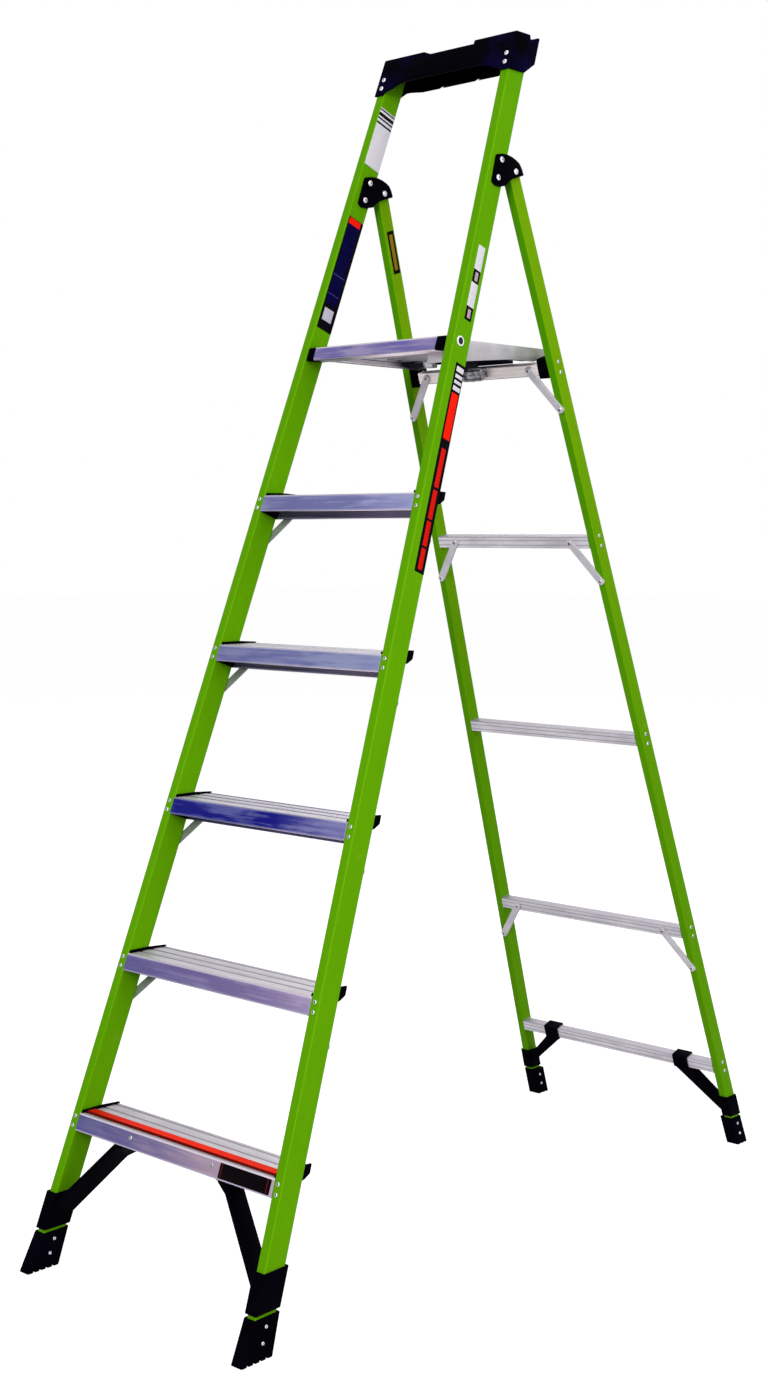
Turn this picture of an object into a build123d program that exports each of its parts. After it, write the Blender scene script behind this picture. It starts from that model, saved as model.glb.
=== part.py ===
from build123d import *
import math
import os

# Platform stepladder with hollow fibre rails, millimetres, +Z up
# +X is the climber's right, +Y runs from the climbing side to the rear legs
# The origin is on the floor, in the middle of the four feet

# Front section
STEP_COUNT = 5
STEP_PITCH = 304.8
FIRST_STEP = 298.1
FRONT_LEAN = 20.127
RAIL_TAPER = 3.042
FRONT_HALF_WIDTH = 295.8
FRONT_RAIL_WIDTH = 20.0
FRONT_RAIL_DEPTH = 47.0
FRONT_RAIL_TOP = 2289.0
RAIL_WALL = 3.0
RAIL_CORNER = 3.0

# Rear section
REAR_LEAN = 18.631
REAR_RAIL_DEPTH = 31.0
REAR_RAIL_WALL = 2.6
REAR_RAIL_CORNER = 2.5
REAR_RAIL_OVER_PIN = 16.0
BAR_HEIGHT = 25.2
BAR_DEPTH = 21.0
BAR_WALL = 2.2
BAR_CORNER = 3.0
BAR_GROOVE_WIDTH = 1.6
BAR_GROOVE_DEPTH = 0.7
BAR_GROOVE_RISE = 5.0
BAR_RIVET_SPREAD = 10.6
LOWER_BAR_RISES = (1405.2, 972.4, 522.7, 190.2)

# Hinge between the two sections
HINGE_BELOW_TOP = 244.4
HINGE_SETBACK = 73.1
HINGE_SIDE_GAP = 0.9
HINGE_PLATE_THICK = 4.0
HINGE_PIN_RADIUS = 4.0
HINGE_PIN_HEAD_RADIUS = 6.0
HINGE_PIN_HEAD_HEIGHT = 3.0
HINGE_PIN_HEAD_SIDES = 8
HINGE_PLATE_CORNER = 5.0
HINGE_TIP_CORNER = 2.0
HINGE_PLATE_OUTLINE = (
    (12.1, 3.8),
    (27.0, 13.0),
    (41.5, 18.6),
    (55.0, 21.2),
    (68.0, 21.8),
    (80.0, 20.2),
    (89.5, 14.0),
    (98.0, 5.0),
    (68.0, -18.6),
    (59.0, -30.0),
    (54.0, -40.0),
    (40.2, -48.8),
    (25.5, -54.2),
    (14.0, -51.5),
)
HINGE_RIVET_SETBACK = 28.5
HINGE_RIVET_DROPS = (-1.0, 36.0)

# Steps
TREAD_DEPTH = 87.0
TREAD_THICK = 3.0
TREAD_LIP = 9.0
TREAD_NOSE_RADIUS = 2.5
STEP_WALL = 2.4
STEP_WALL_HEIGHT = 32.5
STEP_HEM_THICK = 4.0
STEP_HEM_HEIGHT = 4.0
TREAD_GROOVE_WIDTH = 7.0
TREAD_GROOVE_DEPTH = 1.2
TREAD_GROOVES = (27.0, 53.0, 79.0)
STEP_RIVET_DROPS = (7.5, 25.0)

# Black end caps of the steps
END_CAP_THICK = 5.0
END_CAP_RISE = 5.0
END_CAP_FIN_END = 50.0
END_CAP_TAIL = (89.8, 2.3)
END_CAP_HEEL = (84.5, -13.4)
END_CAP_TOE = (70.9, -20.2)
END_CAP_ROOT_DROP = 10.0

# Press bar let into the lowest step
PRESS_BAR_FRONT = 8.0
PRESS_BAR_WIDTH = 22.0
PRESS_BAR_RISE = 4.0
PRESS_BAR_THICK = 8.0
PRESS_BAR_END = 5.0
PRESS_BAR_CROWN = 3.0
PRESS_TRAVEL = 3.0

# Flat braces, and those under the upper steps
BRACE_WIDTH = 16.0
BRACE_THICK = 3.0
BRACE_CORNER = 5.0
KNEE_RUN = 60.0
KNEE_TOP_DROP = 16.0
KNEE_FALL = 60.0

# Flat cross braces of the rear bars
CROSS_RUN = 60.0
CROSS_FALL = 81.0

# Corner braces at the feet
FRONT_SLEEVE_WALL = 4.0
REAR_SLEEVE_WALL = 2.5
FRONT_SLEEVE_LOW = 75.0
FRONT_SLEEVE_HIGH = 139.0
REAR_SLEEVE_LOW = 69.1
REAR_SLEEVE_HIGH = 115.0
FRONT_ARM_RUN = 136.9
FRONT_ARM_FOOT_WIDTH = 18.0
FRONT_ARM_FOOT_EDGE = 3.6
FRONT_ARM_BEND_OUT = 24.5
FRONT_ARM_BEND_DROP = 19.0
FRONT_ARM_HEEL = 130.0
FRONT_ARM_HEEL_HEIGHT = 15.0
FRONT_ARM_INSET = 0.5
FRONT_TONGUE_REACH = 32.0
FRONT_TONGUE_LAP = 10.0
FRONT_TONGUE_THICK = 4.0
FRONT_TONGUE_HEIGHT = 24.0
BRACE_STEP_RIVET_IN = 21.4
BRACE_STEP_RIVET_DROP = 13.0
SADDLE_FROM_RAIL = 64.9
SADDLE_WIDTH = 38.0
SADDLE_WALL = 2.2
REAR_ARM_HEEL = 107.0
REAR_ARM_HEIGHT = 23.6

# Feet
FRONT_FOOT_WALL = 4.0
REAR_FOOT_WALL = 2.5
FOOT_FLOOR = 7.0
FOOT_EDGE = 2.5
FRONT_FOOT_TOP = 69.0
FRONT_SOLE_LEAD = 13.0
FRONT_SOLE_TAIL = 8.2
REAR_FOOT_TOP = 64.0
REAR_SOLE_LEAD = 0.7
REAR_SOLE_TAIL = 5.2
REAR_FOOT_INWARD = 7.5
TOOTH_PITCH = 12.0
TOOTH_GAP = 4.0
TOOTH_DEPTH = 3.0
FRONT_FOOT_RIVETS = ((36.1, 28.8), (45.6, 54.1))
REAR_FOOT_RIVETS = ((7.0, 25.3), (-1.0, 49.0))

# Top cap
CAP_WALL = 3.0
CAP_ABOVE_RAIL = 12.4
CAP_HEIGHT = 75.4
CAP_STEP_DROP = 8.0
CAP_FRONT_FLAT = 45.0
CAP_TRAY = 22.5
CAP_LIP_HEIGHT = 6.1
CAP_LIP_THICK = 6.5
CAP_REAR_RISE = 21.4
CAP_BOTTOM_DEPTH = 49.0
CAP_RECESS_HALF = 66.0
CAP_PANEL_RISE = 7.0
CAP_PANEL_END_RISE = 14.5
CAP_PANEL_BEVEL_GAP = 11.0
CAP_PANEL_BEVEL_RUN = 42.5
CAP_ARCH = ((0.0, 3.5), (20.0, 9.9), (37.0, 16.2), (56.0, 19.5))
CAP_RIB_THICK = 2.5
CAP_RIB_DROP = 34.0
CAP_RIBS = (-104.0, -36.0, 36.0, 104.0)
CAP_NOTCH_WIDTH = 10.0
CAP_NOTCH_HEIGHT = 4.5
CAP_NOTCH_OFFSET = 46.0
CAP_SOCKET_DEPTH = 14.0
CAP_EDGE = 2.0
CAP_RIVET_LIFTS = (14.9, 33.6)

# Folding platform
PLATFORM_TOP = 1713.8
PLATFORM_PIVOT_DROP = 10.93
PLATFORM_PIVOT_SETBACK = 18.5
NOSE_CAP_LENGTH = 19.2
NOSE_HEIGHT = 26.5
NOSE_REACH = 14.0
NOSE_WALL = 2.5
NOSE_RADIUS = 4.0
NOSE_BOSS = 8.5
NOSE_CAP_GAP = 1.2
NOSE_SWEEP = 30.0
DECK_PAST_REST = 16.5
DECK_THICK = 3.0
DECK_WEB_DEPTH = 10.0
DECK_WEB_THICK = 2.0
DECK_WEB_PITCH = 41.0
DECK_RIB_HEIGHT = 1.0
DECK_RIB_WIDTH = 3.0
DECK_RIB_PITCH = 13.7
DECK_REST_GAP = 0.3
BAR_BELOW_DECK = 24.7
DECK_REST_HALF = 80.0
SIDE_INSET = 7.0
SIDE_THICK = 3.0
SIDE_FLANGE = 12.0
SIDE_FLANGE_START = 30.0
SIDE_FLANGE_STOP = 56.0
SIDE_KNEE_STOP = 38.0
SIDE_REAR_STOP = 3.0
SIDE_REAR_DROP = 6.0
GUSSET_FRONT = 7.0
GUSSET_DROP = 34.8
GUSSET_END = 213.0
GUSSET_RETURN = 37.0
LATCH_SIZE = (20.0, 18.0, 14.0)
LATCH_LAP = 6.0
LATCH_DROP = 42.4
PLATFORM_PIN_RADIUS = 6.0
PLATFORM_PIN_GRIP = 30.0
PLATFORM_PIN_RECESS = 3.0
BUSH_RADIUS = 8.0
BUSH_FLANGE_RADIUS = 10.5
BUSH_FLANGE_THICK = 2.0
BUSH_SIDES = 24

# End blocks of the top rear bar
BLOCK_LENGTH = 24.0
BLOCK_BELOW = 5.2
BLOCK_ABOVE = 9.6

# Platform catch on the top rear bar
CATCH_HALF = 27.0
CATCH_CHEEK = 3.5
CATCH_BACK = 2.5
CATCH_DEPTH = 15.0
CATCH_HEIGHT = 20.0
CATCH_RISE = 1.0
CATCH_PIN_RADIUS = 2.0
CATCH_PIN_DROP = 8.0
CATCH_PIN_SETBACK = 9.0
LEVER_SIDE_GAP = 0.4
LEVER_THICK = 3.0
LEVER_BARREL = 4.0
LEVER_NOSE_RISE = 5.5
LEVER_NOSE_REACH = 6.0
LEVER_DROP = 13.0
LEVER_LIP = 6.0
KEEPER_WIDTH = 40.0
KEEPER_THICK = 3.0
KEEPER_BEFORE_REST = 38.5
KEEPER_DROP = 21.5

# Rivets and fits
RIVET_RADIUS = 4.0
RIVET_SIDES = 6
RIVET_HEIGHT = 2.2
RIVET_TAPER = 30.0
FIT = 0.2
RUNNING_FIT = 0.05

# Angles of the two leaning sections
SIN_F = math.sin(math.radians(FRONT_LEAN))
COS_F = math.cos(math.radians(FRONT_LEAN))
TAN_F = math.tan(math.radians(FRONT_LEAN))
SIN_R = math.sin(math.radians(REAR_LEAN))
COS_R = math.cos(math.radians(REAR_LEAN))
SIN_T = math.sin(math.radians(RAIL_TAPER))
COS_T = math.cos(math.radians(RAIL_TAPER))
TAN_T = math.tan(math.radians(RAIL_TAPER))

# The rear rail hangs centred on the hinge pin, which sets where the rear feet stand
hinge_rise = FRONT_RAIL_TOP / COS_F - HINGE_BELOW_TOP
hinge_depth = hinge_rise * SIN_F + HINGE_SETBACK * COS_F
hinge_height = hinge_rise * COS_F - HINGE_SETBACK * SIN_F
rear_hinge_rise = (hinge_height - REAR_RAIL_DEPTH / 2 * SIN_R) / COS_R
rear_foot_depth = hinge_depth + rear_hinge_rise * SIN_R - REAR_RAIL_DEPTH / 2 * COS_R
rear_rail_width = FRONT_RAIL_WIDTH - 2 * HINGE_SIDE_GAP
rear_half_width = (
    FRONT_HALF_WIDTH
    - hinge_rise * TAN_T
    - HINGE_SIDE_GAP / COS_T
    + rear_hinge_rise * TAN_T
)

# The origin lies midway between the front and the rear sole edges
rear_sole_end = rear_foot_depth + REAR_RAIL_DEPTH / COS_R + REAR_SOLE_TAIL
front_y = (FRONT_SOLE_LEAD - rear_sole_end) / 2
rear_y = front_y + rear_foot_depth
hinge_y = front_y + hinge_depth

# The platform stands level between its pivot in the front rails and the top rear bar
pivot_z = PLATFORM_TOP - PLATFORM_PIVOT_DROP
pivot_rise = (pivot_z + PLATFORM_PIVOT_SETBACK * SIN_F) / COS_F
pivot_y = front_y + pivot_rise * SIN_F + PLATFORM_PIVOT_SETBACK * COS_F
bar_top = (PLATFORM_TOP - BAR_BELOW_DECK - BAR_DEPTH * SIN_R) / COS_R
bar_rises = (bar_top - BAR_HEIGHT / 2,) + LOWER_BAR_RISES
rest_y = rear_y - bar_top * SIN_R + BAR_DEPTH * COS_R - pivot_y
deck_reach = rest_y + DECK_PAST_REST

os.makedirs("parts", exist_ok=True)


def save(builder, name):
    """Label a finished piece and write it to its own file."""
    builder.part.label = name
    export_step(builder.part, f"parts/{name}.step")


def front_outer(rise):
    """Half-width over the front rails at a distance up the rail."""
    return FRONT_HALF_WIDTH - rise * TAN_T


def rear_outer(rise):
    """Half-width over the rear rails at a distance up the rail."""
    return rear_half_width - rise * TAN_T


def face_plane(sin, cos, foot_y, setback=0.0):
    """Plane parallel to a section's front: x to the right, y up the rails, z forwards."""
    origin = (0, foot_y + setback * cos, -setback * sin)
    return Plane(origin=origin, x_dir=(1, 0, 0), z_dir=(0, -cos, sin))


def side_plane(sin, cos, foot_y, x=0.0):
    """Upright plane across a section: x backwards square to the rails, y up the rails."""
    return Plane(origin=(x, foot_y, 0), x_dir=(0, cos, -sin), z_dir=(1, 0, 0))


def rail_plane(sin, cos, foot_y, half_width, width):
    """Plane square to the right rail: x outwards, y backwards, z up the rail."""
    origin_x = half_width - width / 2 * COS_T
    lift = -width / 2 * SIN_T
    return Plane(
        origin=(origin_x, foot_y + lift * sin, lift * cos),
        x_dir=(COS_T, SIN_T * sin, SIN_T * cos),
        z_dir=(-SIN_T, COS_T * sin, COS_T * cos),
    )


def flank_plane(sin, cos, foot_y, half_width):
    """Plane of one long side of the right rail: x backwards, y up the rail, z outwards."""
    return Plane(
        origin=(half_width, foot_y, 0),
        x_dir=(0, cos, -sin),
        z_dir=(COS_T, SIN_T * sin, SIN_T * cos),
    )


def up_rail(rise, inset=0.0):
    """Distance along a tapering rail's side of a point at a rise, some way in from its outside."""
    return rise / COS_T + inset * TAN_T


def lean_point(setback, rise):
    """Level point (back, up) of a point given square to and along the front rails."""
    return (rise * SIN_F + setback * COS_F, rise * COS_F - setback * SIN_F)


def rail_point(back, up):
    """Point square to and along the front rails of a level point (back, up)."""
    return (back * COS_F - up * SIN_F, back * SIN_F + up * COS_F)


def under_tread(setback, drop):
    """Level point where a line along the rails meets a level a little below the tread."""
    rise = (setback * SIN_F - drop) / COS_F
    return lean_point(setback, rise)


front_face = face_plane(SIN_F, COS_F, front_y)
front_back_face = face_plane(SIN_F, COS_F, front_y, FRONT_RAIL_DEPTH)
front_rail_plane = rail_plane(SIN_F, COS_F, front_y, FRONT_HALF_WIDTH, FRONT_RAIL_WIDTH)
front_outside = flank_plane(SIN_F, COS_F, front_y, FRONT_HALF_WIDTH)
front_inside = front_outside.offset(-FRONT_RAIL_WIDTH)
rear_face = face_plane(-SIN_R, COS_R, rear_y)
rear_side = side_plane(-SIN_R, COS_R, rear_y)
rear_rail_plane = rail_plane(-SIN_R, COS_R, rear_y, rear_half_width, rear_rail_width)
rear_outside = flank_plane(-SIN_R, COS_R, rear_y, rear_half_width)
rear_inside = rear_outside.offset(-rear_rail_width)
platform_plane = Plane(origin=(0, pivot_y, pivot_z), x_dir=(0, 1, 0), z_dir=(1, 0, 0))
step_rises = [FIRST_STEP + STEP_PITCH * k for k in range(STEP_COUNT)]


def left_of(plane):
    """Mirror image of a right-hand cutting plane, still facing outwards."""
    normal = plane.z_dir
    origin = plane.origin
    return Plane(origin=(-origin.X, origin.Y, origin.Z), z_dir=(-normal.X, normal.Y, normal.Z))


def trim_between(plane):
    """Cut the piece being built to the space between two mirrored planes."""
    split(bisect_by=plane, keep=Keep.BOTTOM)
    split(bisect_by=left_of(plane), keep=Keep.BOTTOM)


def trim_heights(low, high):
    """Cut the piece being built to the space between two levels."""
    split(bisect_by=Plane.XY.offset(low), keep=Keep.TOP)
    split(bisect_by=Plane.XY.offset(high), keep=Keep.BOTTOM)


def flip(builder):
    """Left-hand copy of a finished right-hand piece."""
    with BuildPart() as copy:
        mirror(builder.part, about=Plane.YZ)
    return copy


def seats(plane, points, facing=1):
    """Rivet seats at points of a plane, facing along its normal or against it."""
    places = [plane.from_local_coords((x, y, 0)) for x, y in points]
    return [Plane(origin=place, x_dir=plane.x_dir, z_dir=plane.z_dir * facing) for place in places]


def rivets(places, name):
    """Facetted rivet heads standing on right-hand seats, with their left-hand mirror images."""
    with BuildPart() as heads:
        with BuildSketch(*places):
            RegularPolygon(RIVET_RADIUS, RIVET_SIDES)
        extrude(amount=RIVET_HEIGHT, taper=RIVET_TAPER)
        mirror(about=Plane.YZ)
    save(heads, name)


# Front rails, hollow tubes with bores for the platform bushes
with BuildPart() as front_rail_right:
    with BuildSketch(front_rail_plane):
        with Locations((0, FRONT_RAIL_DEPTH / 2)):
            RectangleRounded(FRONT_RAIL_WIDTH, FRONT_RAIL_DEPTH, RAIL_CORNER)
            Rectangle(
                FRONT_RAIL_WIDTH - 2 * RAIL_WALL,
                FRONT_RAIL_DEPTH - 2 * RAIL_WALL,
                mode=Mode.SUBTRACT,
            )
    extrude(amount=FRONT_RAIL_TOP / COS_F + FRONT_RAIL_DEPTH)
    with BuildSketch(platform_plane):
        RegularPolygon(BUSH_RADIUS, BUSH_SIDES)
    extrude(amount=FRONT_HALF_WIDTH, mode=Mode.SUBTRACT)
    trim_heights(FOOT_FLOOR, FRONT_RAIL_TOP)
save(front_rail_right, "front_rail_right")
front_rail_left = flip(front_rail_right)
save(front_rail_left, "front_rail_left")

# Steps, inverted channels whose walls run parallel to the rails
press_slot_front = PRESS_BAR_FRONT - FIT
press_slot_width = PRESS_BAR_WIDTH + 2 * FIT
press_slot_depth = PRESS_BAR_THICK - PRESS_BAR_RISE + PRESS_TRAVEL + FIT


def front_wall_outline():
    """Front wall of a step with its thickened lower hem."""
    return [
        (0, 0),
        lean_point(0, -STEP_WALL_HEIGHT),
        lean_point(STEP_HEM_THICK, -STEP_WALL_HEIGHT),
        lean_point(STEP_HEM_THICK, STEP_HEM_HEIGHT - STEP_WALL_HEIGHT),
        lean_point(STEP_WALL, STEP_HEM_HEIGHT - STEP_WALL_HEIGHT),
        under_tread(STEP_WALL, 0),
    ]


def channel_outline():
    """Whole section of a step: two walls, the tread and its turned-down rear lip."""
    depth = FRONT_RAIL_DEPTH
    return [
        (0, 0),
        (TREAD_DEPTH, 0),
        (TREAD_DEPTH, -TREAD_LIP),
        (TREAD_DEPTH - STEP_WALL, -TREAD_LIP),
        (TREAD_DEPTH - STEP_WALL, -TREAD_THICK),
        under_tread(depth, TREAD_THICK),
        lean_point(depth, -STEP_WALL_HEIGHT),
        lean_point(depth - STEP_HEM_THICK, -STEP_WALL_HEIGHT),
        lean_point(depth - STEP_HEM_THICK, STEP_HEM_HEIGHT - STEP_WALL_HEIGHT),
        lean_point(depth - STEP_WALL, STEP_HEM_HEIGHT - STEP_WALL_HEIGHT),
        under_tread(depth - STEP_WALL, TREAD_THICK),
        under_tread(STEP_WALL, TREAD_THICK),
        lean_point(STEP_WALL, STEP_HEM_HEIGHT - STEP_WALL_HEIGHT),
        lean_point(STEP_HEM_THICK, STEP_HEM_HEIGHT - STEP_WALL_HEIGHT),
        lean_point(STEP_HEM_THICK, -STEP_WALL_HEIGHT),
        lean_point(0, -STEP_WALL_HEIGHT),
    ]


def step_section(rise):
    """Level cross-section plane at a step's front edge: x backwards, y up."""
    origin = (0, front_y + rise * SIN_F, rise * COS_F)
    return Plane(origin=origin, x_dir=(0, 1, 0), z_dir=(1, 0, 0))


def build_step(number):
    """One step between the rails; the lowest has a slot for the press bar."""
    rise = step_rises[number]
    section = step_section(rise)
    with BuildPart() as step:
        with BuildSketch(section) as outline:
            with BuildLine():
                Polyline(*channel_outline(), close=True)
            make_face()
            fillet(outline.vertices().sort_by_distance((0, 0))[0], TREAD_NOSE_RADIUS)
            slot_middle = press_slot_front + press_slot_width / 2
            if number == 0:
                with Locations((slot_middle, 0)):
                    Rectangle(
                        press_slot_width + 2 * STEP_WALL,
                        press_slot_depth + STEP_WALL,
                        align=(Align.CENTER, Align.MAX),
                    )
                    Rectangle(
                        press_slot_width,
                        press_slot_depth,
                        align=(Align.CENTER, Align.MAX),
                        mode=Mode.SUBTRACT,
                    )
            slot_end = press_slot_front + press_slot_width + STEP_WALL
            grooves = [g for g in TREAD_GROOVES if number > 0 or g > slot_end]
            with Locations(*[(g, 0) for g in grooves]):
                Rectangle(TREAD_GROOVE_WIDTH, 2 * TREAD_GROOVE_DEPTH, mode=Mode.SUBTRACT)
        extrude(amount=front_outer(rise), both=True)
        trim_between(front_inside.offset(-END_CAP_THICK - 2 * FIT))
        with BuildSketch(section) as wall:
            with BuildLine():
                Polyline(*front_wall_outline(), close=True)
            make_face()
            fillet(wall.vertices().sort_by_distance((0, 0))[0], TREAD_NOSE_RADIUS)
        extrude(amount=front_outer(rise), both=True)
        trim_between(front_inside)
    save(step, f"step_{number + 1}")


for index in range(STEP_COUNT):
    build_step(index)

# End caps: plates on the rails' inner sides that rise past the tread and run out behind
with BuildPart() as step_end_caps_right:
    for rise in step_rises:
        corners = [
            rail_point(*under_tread(STEP_WALL + FIT, -END_CAP_RISE)),
            rail_point(END_CAP_FIN_END, END_CAP_RISE),
            rail_point(*END_CAP_TAIL),
            rail_point(*END_CAP_HEEL),
            rail_point(*END_CAP_TOE),
            (FRONT_RAIL_DEPTH, -END_CAP_ROOT_DROP),
            (FRONT_RAIL_DEPTH, -STEP_WALL_HEIGHT),
            (STEP_HEM_THICK + FIT, -STEP_WALL_HEIGHT),
            (STEP_HEM_THICK + FIT, STEP_HEM_HEIGHT + 2 * FIT - STEP_WALL_HEIGHT),
            (STEP_WALL + FIT, STEP_HEM_HEIGHT + 2 * FIT - STEP_WALL_HEIGHT),
        ]
        with BuildSketch(front_inside.offset(-FIT)):
            with BuildLine():
                inset = FRONT_RAIL_WIDTH + FIT
                Polyline(*[(n, up_rail(rise + s, inset)) for n, s in corners], close=True)
            make_face()
        extrude(amount=-END_CAP_THICK)
save(step_end_caps_right, "step_end_caps_right")
save(flip(step_end_caps_right), "step_end_caps_left")

# Press bar with a crowned top, free to sink into its slot
with BuildPart() as press_bar:
    with BuildSketch(step_section(step_rises[0])) as bar_section:
        low = PRESS_BAR_RISE - PRESS_BAR_THICK
        with Locations((PRESS_BAR_FRONT, low)):
            Rectangle(PRESS_BAR_WIDTH, PRESS_BAR_THICK, align=(Align.MIN, Align.MIN))
        fillet(bar_section.vertices().group_by(Axis.Y)[-1], PRESS_BAR_CROWN)
    extrude(amount=FRONT_HALF_WIDTH, both=True)
    trim_between(front_inside.offset(-END_CAP_THICK - PRESS_BAR_END))
save(press_bar, "ground_press_bar")

# Knee braces: flat bars from each upper step's rear wall to the rail's rear face
knee_ends = []
with BuildPart() as knee_braces_right:
    for rise in step_rises[1:]:
        top_rise = rise - KNEE_TOP_DROP
        low_rise = top_rise - KNEE_FALL
        low_x = front_outer(low_rise) - FRONT_RAIL_WIDTH / 2
        top_x = low_x - KNEE_RUN
        knee_ends += [(top_x, top_rise), (low_x, low_rise)]
        with BuildSketch(front_back_face) as knee_outline:
            middle = ((low_x + top_x) / 2, (low_rise + top_rise) / 2)
            reach = math.hypot(KNEE_RUN, KNEE_FALL)
            slant = math.degrees(math.atan2(-KNEE_FALL, KNEE_RUN))
            with Locations(Location(middle, slant)):
                Rectangle(reach + BRACE_WIDTH, BRACE_WIDTH)
            chamfer(knee_outline.vertices(), BRACE_CORNER)
        extrude(amount=-BRACE_THICK)
save(knee_braces_right, "knee_braces_right")
save(flip(knee_braces_right), "knee_braces_left")


def sleeve(plane, width, depth, wall, low, high):
    """Band round a rail between two levels, inside the block being built."""
    with BuildSketch(plane) as band:
        with Locations((0, depth / 2)):
            Rectangle(width + 2 * (FIT + wall), depth + 2 * (FIT + wall))
            chamfer(band.vertices(), wall / 2)
            Rectangle(width + 2 * FIT, depth + 2 * FIT, mode=Mode.SUBTRACT)
    extrude(band.sketch, amount=high + 2 * depth)
    trim_heights(low, high)


# Front corner braces: a sleeve on the rail and a wide strap up to the lowest step
step_under = step_rises[0] - STEP_WALL_HEIGHT
heel_x = front_outer(FRONT_ARM_HEEL) - FRONT_RAIL_WIDTH - FRONT_SLEEVE_WALL / 2
arm_foot = heel_x - FRONT_ARM_RUN
tongue_in = arm_foot - FRONT_TONGUE_REACH
tongue_out = arm_foot + FRONT_TONGUE_LAP
arm_outline = [
    (heel_x, FRONT_ARM_HEEL),
    (arm_foot + FRONT_ARM_FOOT_WIDTH, step_under),
    (arm_foot, step_under),
    (arm_foot, step_under - FRONT_ARM_FOOT_EDGE),
    (arm_foot + FRONT_ARM_BEND_OUT, step_under - FRONT_ARM_BEND_DROP),
    (heel_x, FRONT_ARM_HEEL - FRONT_ARM_HEEL_HEIGHT),
]
with BuildPart() as front_corner_brace_right:
    sleeve(
        front_rail_plane,
        FRONT_RAIL_WIDTH,
        FRONT_RAIL_DEPTH,
        FRONT_SLEEVE_WALL,
        FRONT_SLEEVE_LOW,
        FRONT_SLEEVE_HIGH,
    )
    with BuildSketch(face_plane(SIN_F, COS_F, front_y, FRONT_ARM_INSET)):
        with BuildLine():
            Polyline(*arm_outline, close=True)
        make_face()
    extrude(amount=-(FRONT_RAIL_DEPTH - 2 * FRONT_ARM_INSET))
    with BuildSketch(face_plane(SIN_F, COS_F, front_y, STEP_HEM_THICK + FIT)):
        with BuildLine():
            Polyline(
                (tongue_in, step_under + STEP_HEM_HEIGHT),
                (arm_foot, step_under - FRONT_ARM_FOOT_EDGE),
                (tongue_out, step_under - FRONT_ARM_FOOT_EDGE),
                (tongue_out, step_under + FRONT_TONGUE_HEIGHT),
                (tongue_in, step_under + FRONT_TONGUE_HEIGHT),
                close=True,
            )
        make_face()
    extrude(amount=-FRONT_TONGUE_THICK)
save(front_corner_brace_right, "front_corner_brace_right")
save(flip(front_corner_brace_right), "front_corner_brace_left")


def rail_core(plane, width, depth, low, high):
    """Solid that fills a rail's outside with the socket fit, between two levels."""
    with BuildPart() as core:
        with BuildSketch(plane):
            with Locations((0, depth / 2)):
                Rectangle(width + 2 * FIT, depth + 2 * FIT)
        extrude(amount=2 * high)
        trim_heights(low, high)
    return core.part


def build_foot(half_width, width, depth, wall, sin, cos, foot_y, top, lead, tail, inward=0.0):
    """Moulded shoe round the lower end of a right-hand rail, with a toothed sole."""
    run = depth / cos
    skin = FIT + wall
    breadth = width + 2 * skin + inward
    top_y = foot_y + top * sin / cos - skin / cos
    top_x = half_width - top * TAN_T / cos + skin
    sole_length = run + lead + tail
    teeth = int(sole_length // TOOTH_PITCH)
    plane = rail_plane(sin, cos, foot_y, half_width, width)
    core = rail_core(plane, width, depth, FOOT_FLOOR, 2 * top)
    with BuildPart() as shoe:
        with BuildSketch(Plane.XY):
            with Locations((half_width + skin, foot_y - lead)):
                Rectangle(breadth, sole_length, align=(Align.MAX, Align.MIN))
        with BuildSketch(Plane.XY.offset(top)):
            with Locations((top_x, top_y)):
                Rectangle(breadth, run + 2 * skin / cos, align=(Align.MAX, Align.MIN))
        loft(ruled=True)
        uprights = shoe.edges().filter_by(lambda edge: abs(edge.center().Z - top / 2) < FOOT_FLOOR)
        chamfer(uprights, FOOT_EDGE)
        add(core, mode=Mode.SUBTRACT)
        with BuildSketch(Plane.XY):
            with Locations((half_width - width / 2, foot_y - lead + sole_length / 2)):
                with GridLocations(0, sole_length / teeth, 1, teeth - 1):
                    Rectangle(2 * breadth, TOOTH_GAP)
        extrude(amount=TOOTH_DEPTH, mode=Mode.SUBTRACT)
    return shoe


front_foot_right = build_foot(
    FRONT_HALF_WIDTH,
    FRONT_RAIL_WIDTH,
    FRONT_RAIL_DEPTH,
    FRONT_FOOT_WALL,
    SIN_F,
    COS_F,
    front_y,
    FRONT_FOOT_TOP,
    FRONT_SOLE_LEAD,
    FRONT_SOLE_TAIL,
)
save(front_foot_right, "front_foot_right")
save(flip(front_foot_right), "front_foot_left")
rear_foot_right = build_foot(
    rear_half_width,
    rear_rail_width,
    REAR_RAIL_DEPTH,
    REAR_FOOT_WALL,
    -SIN_R,
    COS_R,
    rear_y,
    REAR_FOOT_TOP,
    REAR_SOLE_LEAD,
    REAR_SOLE_TAIL,
    REAR_FOOT_INWARD,
)
save(rear_foot_right, "rear_foot_right")
save(flip(rear_foot_right), "rear_foot_left")


def front_at(height, setback):
    """Depth, at a level, of a plane parallel to the front rails."""
    return front_y + height * TAN_F + setback / COS_F


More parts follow.
